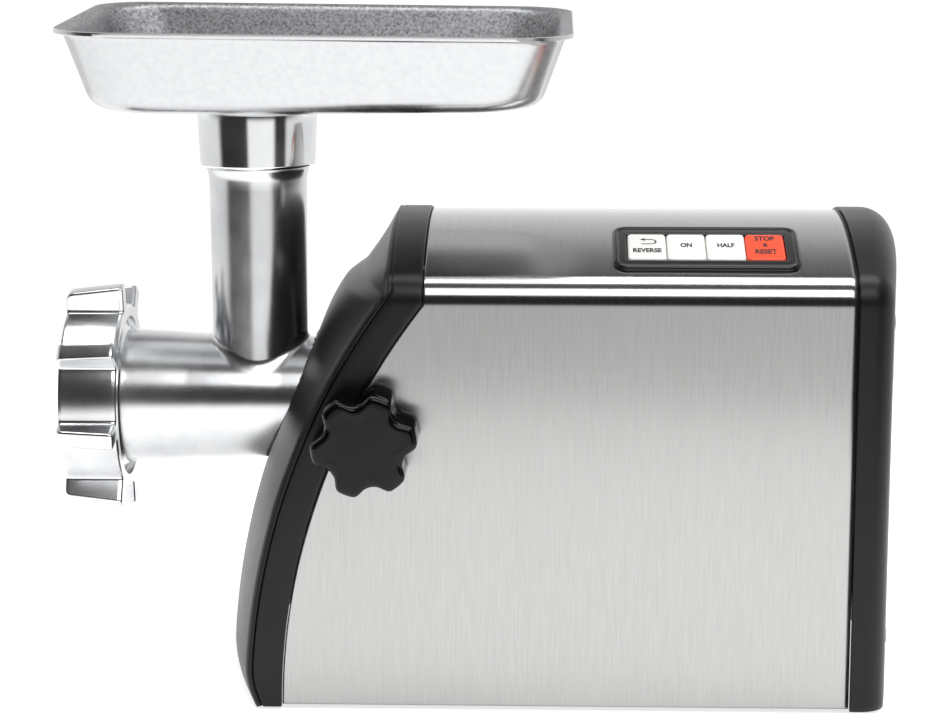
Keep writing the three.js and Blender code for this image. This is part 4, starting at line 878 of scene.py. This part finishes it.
# [in from the back, in from the outline], then [out from the front, in from the outline]
BACK_EDGE = [(0, 3.0), (0.4, 1.5), (1.4, 0.4), (3, 0.0), (8, 0.0), (14, 0.0), (19, 0.0)]
FRONT_EDGE = [(2.6, 0.15), (1.5, 0.6), (0.7, 1.3), (0.2, 2.2), (0, 3.2)]
rows = [(KNOB_BACK, np.full_like(radius, CORE_R))]
rows += [(KNOB_BACK - s, radius - inset) for s, inset in BACK_EDGE]
rows += [(KNOB_FRONT + s, radius - inset) for s, inset in FRONT_EDGE]
rows += [(KNOB_FRONT + 0.1, radius * s) for s in (0.75, 0.55, 0.3, 0)]
core = [(KNOB_BACK, CORE_R), (KNOB_BACK, STUD_R), (CORE_END, STUD_R), (CORE_END, 0.0)]
sheet(
    "clamp_knob_grip",
    [
        {"points": turned(part, 1, (KNOB_X, 0, BARREL_Z), a), "along": True}
        for part in (rows, core)
    ],
    KNOB_ABS, "clamp_knob", ("knob",), sharp=40,
)

# %% [markdown]
# ## Button panel
# The frame lies on the arch. Its rows blend from the rounded outer rectangle to the window, and
# each point is lifted from the panel's plane to the arch: the drop at y is what the circle loses.

# %% Panel
PANEL_L, PANEL_H, KEY_PITCH, KEY_H, KEY_TOP = 88, 44, 18.6, 26.4, 1.6
FRAME_FOOT = -7.5
cos_turn, sin_turn = math.cos(PANEL_TURN), math.sin(PANEL_TURN)
PANEL_AXES = np.array(Matrix(((1, 0, 0), (0, cos_turn, -sin_turn), (0, sin_turn, cos_turn))))
PANEL_ORIGIN = np.array([PANEL_X, -ARCH_R * sin_turn, ARCH_Z + ARCH_R * cos_turn])



def on_panel(x, y, height):
    """Panel coordinates (along, up the slope, out) to the machine's axes; height is one number, or
    one for each point."""
    return np.column_stack([x, y, np.zeros(len(x)) + height]) @ PANEL_AXES.T + PANEL_ORIGIN


outer_line = rounded_rectangle(PANEL_L / 2, PANEL_H / 2, 7, 24, 12) + (0, 1.2)
window_line = rounded_rectangle(37.35, 13.5, 1.5, 24, 12)
# [share of the way in, height, how far it follows the arch]
PANEL_ROWS = [
    (0.0, -1.2, 1), (0.0, 0.8, 1), (0.03, 1.5, 1), (0.09, 2.1, 1), (0.17, 2.4, 1),
    (0.25, 2.45, 1), (0.33, 2.3, 1), (0.42, 1.6, 0.8), (0.5, 1.5, 0.6), (0.75, 1.4, 0.25),
    (0.9, 1.35, 0.05), (0.96, 1.2, 0), (1.0, 0.8, 0), (1.0, FRAME_FOOT, 0),
]
rows = []
for share, height, bend in PANEL_ROWS:
    p = outer_line + (window_line - outer_line) * share
    drop = np.sqrt((ARCH_R + height) ** 2 - p[:, 1] ** 2) - ARCH_R - height
    rows.append(on_panel(p[:, 0], p[:, 1], height + drop * bend))
under = window_line * (1.06, 1.25)
rows.append(on_panel(under[:, 0], under[:, 1], FRAME_FOOT))
sheet(
    "panel_frame", [{"points": np.stack(rows), "around": True, "along": True}], BEZEL_ABS,
    "chassis", ("control_bezel",), sharp=40,
)

# %% [markdown]
# A key is rows of one rounded rectangle, eased towards its flat top, and closed underneath.

# %% Keys
KEY_GAP, KEY_DEEP = 0.4, 7.6
# finish by CAD solid, in order along the panel, and the place in key pitches from its middle
KEYS = [
    ("reverse", -1.5, WHITE_KEY), ("on", -0.5, WHITE_KEY), ("half", 0.5, WHITE_KEY),
    ("stop", 1.5, RED_KEY),
]
# [in from the outline, below the top]
KEY_ROWS = [(0, KEY_DEEP), (0, 1.2), (0.12, 0.65), (0.45, 0.25), (1.0, 0.05), (1.8, 0)]


def key_row(line, at, height):
    """A line of (along, up) places, carried to a key and lifted to one height."""
    return on_panel(line[:, 0] + at * KEY_PITCH, line[:, 1], height)


for word, at, finish in KEYS:
    rows = []
    for inset, down in KEY_ROWS:
        half_l, half_h = (KEY_PITCH - KEY_GAP) / 2 - inset, KEY_H / 2 - inset
        cap = rounded_rectangle(half_l, half_h, 2.2 - inset, 12, 6)
        rows.append(key_row(cap, at, KEY_TOP - down))
    rows += [key_row(cap * share, at, KEY_TOP) for share in (0.5, 0.0)]
    bottom = key_row(cap * 0, at, KEY_TOP - KEY_DEEP)
    name = "key_" + word
    sheet(
        name, [{"points": np.stack([bottom] + rows), "along": True}], finish, name,
        ("button_" + word,), sharp=45,
    )

# %% [markdown]
# The legends are pad-printed, so they are flat letters a few hundredths of a millimetre above the
# keys. Each one is made a mesh and then laid on its key.

# %% Legends
INK = 0.04  # height of the print above the key
BOLDER = 0.045  # share of the size that thickens the letters


def legend(name, text, size, at, up, body, squeeze):
    """Flat text, centred at (at, up) on the panel, its letters squeezed sideways."""
    curve = bpy.data.curves.new(name + "_line", "FONT")
    curve.body = text
    curve.size = size
    curve.align_x = "CENTER"
    curve.align_y = "CENTER"
    curve.resolution_u = 4
    curve.offset = BOLDER * size
    made = bpy.data.objects.new(name + "_line", curve)
    mesh = bpy.data.meshes.new_from_object(made)
    mesh.name = name
    bpy.data.objects.remove(made)
    p = np.zeros(len(mesh.vertices) * 3)
    mesh.vertices.foreach_get("co", p)
    p = p.reshape(-1, 3)
    lifted = on_panel(p[:, 0] * squeeze + at, p[:, 1] + up, KEY_TOP + INK)
    mesh.vertices.foreach_set("co", placed(lifted).ravel())
    mesh.materials.clear()
    mesh.materials.append(LEGEND)
    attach(linked(name, mesh), body)
    print(name, len(p), "points")


legend("legend_reverse", "REVERSE", 5.6, -1.5 * KEY_PITCH, -4.6, "key_reverse", 0.64)
legend("legend_on", "ON", 5.6, -0.5 * KEY_PITCH, 1.0, "key_on", 0.62)
legend("legend_half", "HALF", 5.6, 0.5 * KEY_PITCH, 1.0, "key_half", 0.62)
legend("legend_stop", "STOP", 6.2, 1.5 * KEY_PITCH, 8.2, "key_stop", 0.62)
legend("legend_and", "&", 5.2, 1.5 * KEY_PITCH, 1.6, "key_stop", 0.62)
legend("legend_reset", "RESET", 6.2, 1.5 * KEY_PITCH, -5.4, "key_stop", 0.62)

# %% [markdown]
# The turn-back arrow is two straight runs joined by a half circle, and a pointed head.

# %% Arrow
ARROW_R, ARROW_HALF = 2.3, 0.4
ARROW_AT = (-1.5 * KEY_PITCH, 4.6)
t = np.linspace(-math.pi / 2, math.pi / 2, 16)
bow = np.column_stack([2.0 + ARROW_R * np.cos(t), ARROW_R * np.sin(t)])
path = np.vstack([[-2.4, -ARROW_R], bow, [-0.8, ARROW_R]])
slope = np.gradient(path, axis=0)
side = np.column_stack([-slope[:, 1], slope[:, 0]]) / np.linalg.norm(slope, axis=1)[:, None]
band = np.stack([path - side * ARROW_HALF, path + side * ARROW_HALF])
tip = np.array([[[-0.8, 3.7], [-3.4, 2.3]], [[-0.8, 0.9], [-3.4, 2.3]]])
arrow = []
for part in (band, tip):
    flat = part.reshape(-1, 2) + ARROW_AT
    points = on_panel(flat[:, 0], flat[:, 1], KEY_TOP + INK)
    arrow.append({"points": points.reshape(*part.shape[:2], 3)})
sheet("legend_arrow", arrow, LEGEND, "key_reverse")

# %% [markdown]
# ## Plate, knife, screw and the parts inside
# These solids keep their shapes. The ones that show at the mouth, underneath or behind get a
# merged copy with eased edges; the rest get the finish of what they are made of.

# %% Smaller parts
smoothed("plate", "grinding_plate", STEEL, "plate", bevel=0.25)
smoothed("knife", "cutting_knife", STEEL, "feed_screw", bevel=0.2)
smoothed("screw_blade", "auger", SATIN, "feed_screw", sharp=40, bevel=0.0)
smoothed("socket", "head_socket", ROUGH_CAST, "chassis", bevel=0.3)
smoothed("stud", "knob_stud", STEEL, "clamp_knob", bevel=0.2)
smoothed("pad", "clamp_pad", STEEL, "clamp", bevel=0.2)
smoothed("inlet", "power_inlet", KNOB_ABS, "chassis", bevel=0.4)
smoothed("floor_plate", "base_plate", BLACK_ABS, "chassis", bevel=0.4)
for corner in ("front_right", "front_left", "rear_right", "rear_left"):
    smoothed("pad_foot_" + corner, "foot_" + corner, RUBBER, "chassis", bevel=0.3)
for corner in ("low_right", "low_left", "high_right", "high_left"):
    smoothed("screw_" + corner, "cover_screw_" + corner, ZINC, "chassis", bevel=0.2)

# %% [markdown]
# Nothing shows of the solids deep inside until the body is opened, so they only change finish.

# %% Parts inside
INSIDE = {
    "control_board": BOARD, "gearbox_housing": ROUGH_CAST, "gearbox_cover": ROUGH_CAST,
    "output_bearing": STEEL, "drive_shaft": STEEL, "output_gear": STEEL,
    "second_pinion_shaft": STEEL, "second_gear": NYLON, "first_pinion_shaft": STEEL,
    "first_gear": NYLON, "armature_shaft": STEEL, "armature_core": LAMINATION,
    "commutator": BRIGHT_COPPER, "cooling_fan": NYLON, "motor_bearing_front": STEEL,
    "motor_bearing_rear": STEEL, "stator_core": LAMINATION, "field_coil_right": COPPER,
    "field_coil_left": COPPER, "brush_right": CARBON, "brush_left": CARBON,
    "motor_bracket": ZINC,
}
INSIDE.update({f"gearbox_screw_{i}": ZINC for i in (1, 2, 3, 4)})
for name, finish in INSIDE.items():
    nodes[name].data.materials.clear()
    nodes[name].data.materials.append(finish)
print("inside:", len(INSIDE), "solids")

# %% [markdown]
# ## Studio
# Polished metal looks like metal only when it has something dark beside something bright, so the
# room around the table is built for its reflections. The floor is white paper, lit from behind
# where the eye looks at it, so that it fades to pure white before its edge.

# %% Floor
FLOOR_RINGS = (0.0, 0.3, 0.8)  # metres
GLOW, GLOW_EDGE = 0.75, 1.05
a = np.linspace(0, 2 * math.pi, 96, endpoint=False)
disc = turned([(0, r) for r in FLOOR_RINGS], 2, (0, 0, 0), a)
faces = grid_faces(disc.shape[:2], False, True, None, 0)
mesh = bpy.data.meshes.new("floor")
mesh.from_pydata(disc.reshape(-1, 3).tolist(), [], faces.tolist())
floor = linked("floor", mesh)
# Matt paper: near white, with no shine to speak of.
paper, tree, shader = material(
    "paper_white_matt", Base_Color=srgb("#E4E4E4"), Roughness=0.8, Specular_IOR_Level=0.1,
    Emission_Color=(1, 1, 1, 1),
)
place = node(tree, "ShaderNodeTexCoord").outputs["Object"]
away = node(tree, "ShaderNodeVectorMath", {"operation": "LENGTH"}, {0: place})
glow = node(
    tree, "ShaderNodeMapRange",
    {"From Min": 0.2, "From Max": 0.5, "To Min": GLOW, "To Max": GLOW_EDGE},
    {"Value": away.outputs["Value"]},
)
seen = node(tree, "ShaderNodeLightPath")
shown = node(
    tree, "ShaderNodeMix", {"data_type": "FLOAT", 2: GLOW},
    {0: seen.outputs["Is Camera Ray"], 3: glow.outputs["Result"]},
)
tree.links.new(shown.outputs[0], shader.inputs["Emission Strength"])
mesh.materials.append(paper)
print("floor reaches", FLOOR_RINGS[-1], "m")

# %% [markdown]
# The room is worked out from two angles: the height above the horizon, and the turn from straight
# ahead. It is dark in front and overhead, brightens towards the wall behind, and below the horizon
# has pale screens with dark gaps between them. The eye itself sees plain white.

# %% Room
FRONT = [(-90, 0.7), (-4, 0.03), (30, 0.04), (50, 0.12), (90, 0.12)]
BEHIND = [(-90, 1.1), (5, 1.1), (20, 0.95), (36, 0.75), (50, 0.35), (62, 0.14), (90, 0.12)]
LOW = [(-150, 0.9), (-78, 0.8), (-68, 0.03), (-15, 0.03), (-11, 1.0), (36, 1.05), (42, 0.03)]
LOW += [(60, 0.03), (66, 0.8), (150, 0.9)]
BEHIND_FROM, BEHIND_OVER = math.radians(62), math.radians(45)
LIFT_FROM, LIFT_OVER = math.radians(7), math.radians(4)

world = bpy.data.worlds.new("studio")
bpy.context.scene.world = world
world.use_nodes = True
tree = world.node_tree
tree.nodes.clear()
looked = node(tree, "ShaderNodeTexCoord").outputs["Generated"]
parts = node(tree, "ShaderNodeSeparateXYZ", links={"Vector": looked}).outputs
height = node(tree, "ShaderNodeMath", {"operation": "ARCSINE"}, {0: parts["Z"]}).outputs[0]
ahead = node(tree, "ShaderNodeMath", {"operation": "MULTIPLY", 1: -1.0}, {0: parts["Y"]})
turn = node(
    tree, "ShaderNodeMath", {"operation": "ARCTAN2"}, {0: parts["X"], 1: ahead.outputs[0]}
).outputs[0]

# grey along an angle, as stops of (degrees, brightness), from -reach to reach
greys = []
for angle, reach, stops in ((height, 90, FRONT), (height, 90, BEHIND), (turn, 180, LOW)):
    share = node(
        tree, "ShaderNodeMapRange",
        {"From Min": math.radians(-reach), "From Max": math.radians(reach)}, {"Value": angle},
    )
    stops = [((at + reach) / (2 * reach), (grey, grey, grey, 1)) for at, grey in stops]
    greys.append(node(tree, "ShaderNodeValToRGB", {"stops": stops}, {"Fac": share.outputs[0]}))
front, behind, low = [made.outputs[0] for made in greys]

# 0 in front, 1 at the wall behind
size = node(tree, "ShaderNodeMath", {"operation": "ABSOLUTE"}, {0: turn})
past = node(
    tree, "ShaderNodeMath", {"operation": "SUBTRACT", 1: BEHIND_FROM}, {0: size.outputs[0]}
)
sideways = node(
    tree, "ShaderNodeMath", {"operation": "MULTIPLY", "use_clamp": True, 1: 1 / BEHIND_OVER},
    {0: past.outputs[0]},
)
upper = node(
    tree, "ShaderNodeMix", {"data_type": "RGBA"}, {0: sideways.outputs[0], 6: front, 7: behind}
)
# 0 below the horizon, 1 above it
lift = node(
    tree, "ShaderNodeMath",
    {"operation": "MULTIPLY_ADD", "use_clamp": True, 1: 1 / LIFT_OVER, 2: LIFT_FROM / LIFT_OVER},
    {0: height},
)
room = node(
    tree, "ShaderNodeMix", {"data_type": "RGBA"},
    {0: lift.outputs[0], 6: low, 7: upper.outputs[2]},
)
lit = node(tree, "ShaderNodeBackground", {"Strength": 1.0}, {"Color": room.outputs[2]})
plain = node(tree, "ShaderNodeBackground", {"Color": (1, 1, 1, 1), "Strength": GLOW_EDGE})
seen = node(tree, "ShaderNodeLightPath")
mixed = node(
    tree, "ShaderNodeMixShader",
    links={0: seen.outputs["Is Camera Ray"], 1: lit.outputs[0], 2: plain.outputs[0]},
)
node(tree, "ShaderNodeOutputWorld", links={"Surface": mixed.outputs[0]})
print("room:", len(tree.nodes), "nodes")

# %% [markdown]
# Two broad lamps add to the room: one overhead, and one in front that faces the side of the body.

# %% Lamps
def lamp(name, place, target, size, radiance):
    """A rectangular lamp at place that faces target. Its power is radiance times pi times area."""
    light = bpy.data.lights.new(name, "AREA")
    light.shape = "RECTANGLE"
    light.size, light.size_y = size
    light.energy = radiance * math.pi * size[0] * size[1]
    obj = linked(name, light)
    obj.location = place
    obj.rotation_euler = (Vector(target) - Vector(place)).to_track_quat("-Z", "Y").to_euler()
    print(name, round(light.energy, 2), "W")


lamp("overhead_lamp", (0.1, -0.04, 1.1), (0.1, -0.04, 0.0), (1.3, 0.5), 4.5)
lamp("front_lamp", (0.3, -0.82, 0.87), (0.3, -0.075, 0.2), (0.95, 0.44), 3.5)

# %% [markdown]
# ## Camera
# A long lens from a little above, looking along the length of the table at the operator's side.

# %% Camera
PITCH, YAW = math.radians(10.82), math.radians(1.7)
EYE = (38.6, -1300.9, 403.7)
camera = linked("camera", bpy.data.cameras.new("camera"))
camera.data.lens = 100.42
camera.data.sensor_width = 36
camera.data.clip_end = 100
camera.location = placed(EYE)
level = math.cos(PITCH)
forward = Vector((-math.sin(YAW) * level, math.cos(YAW) * level, -math.sin(PITCH)))
camera.rotation_euler = forward.to_track_quat("-Z", "Y").to_euler()
bpy.context.scene.camera = camera
bpy.context.scene.view_settings.view_transform = "Standard"
print("camera at", [round(v, 4) for v in camera.location])
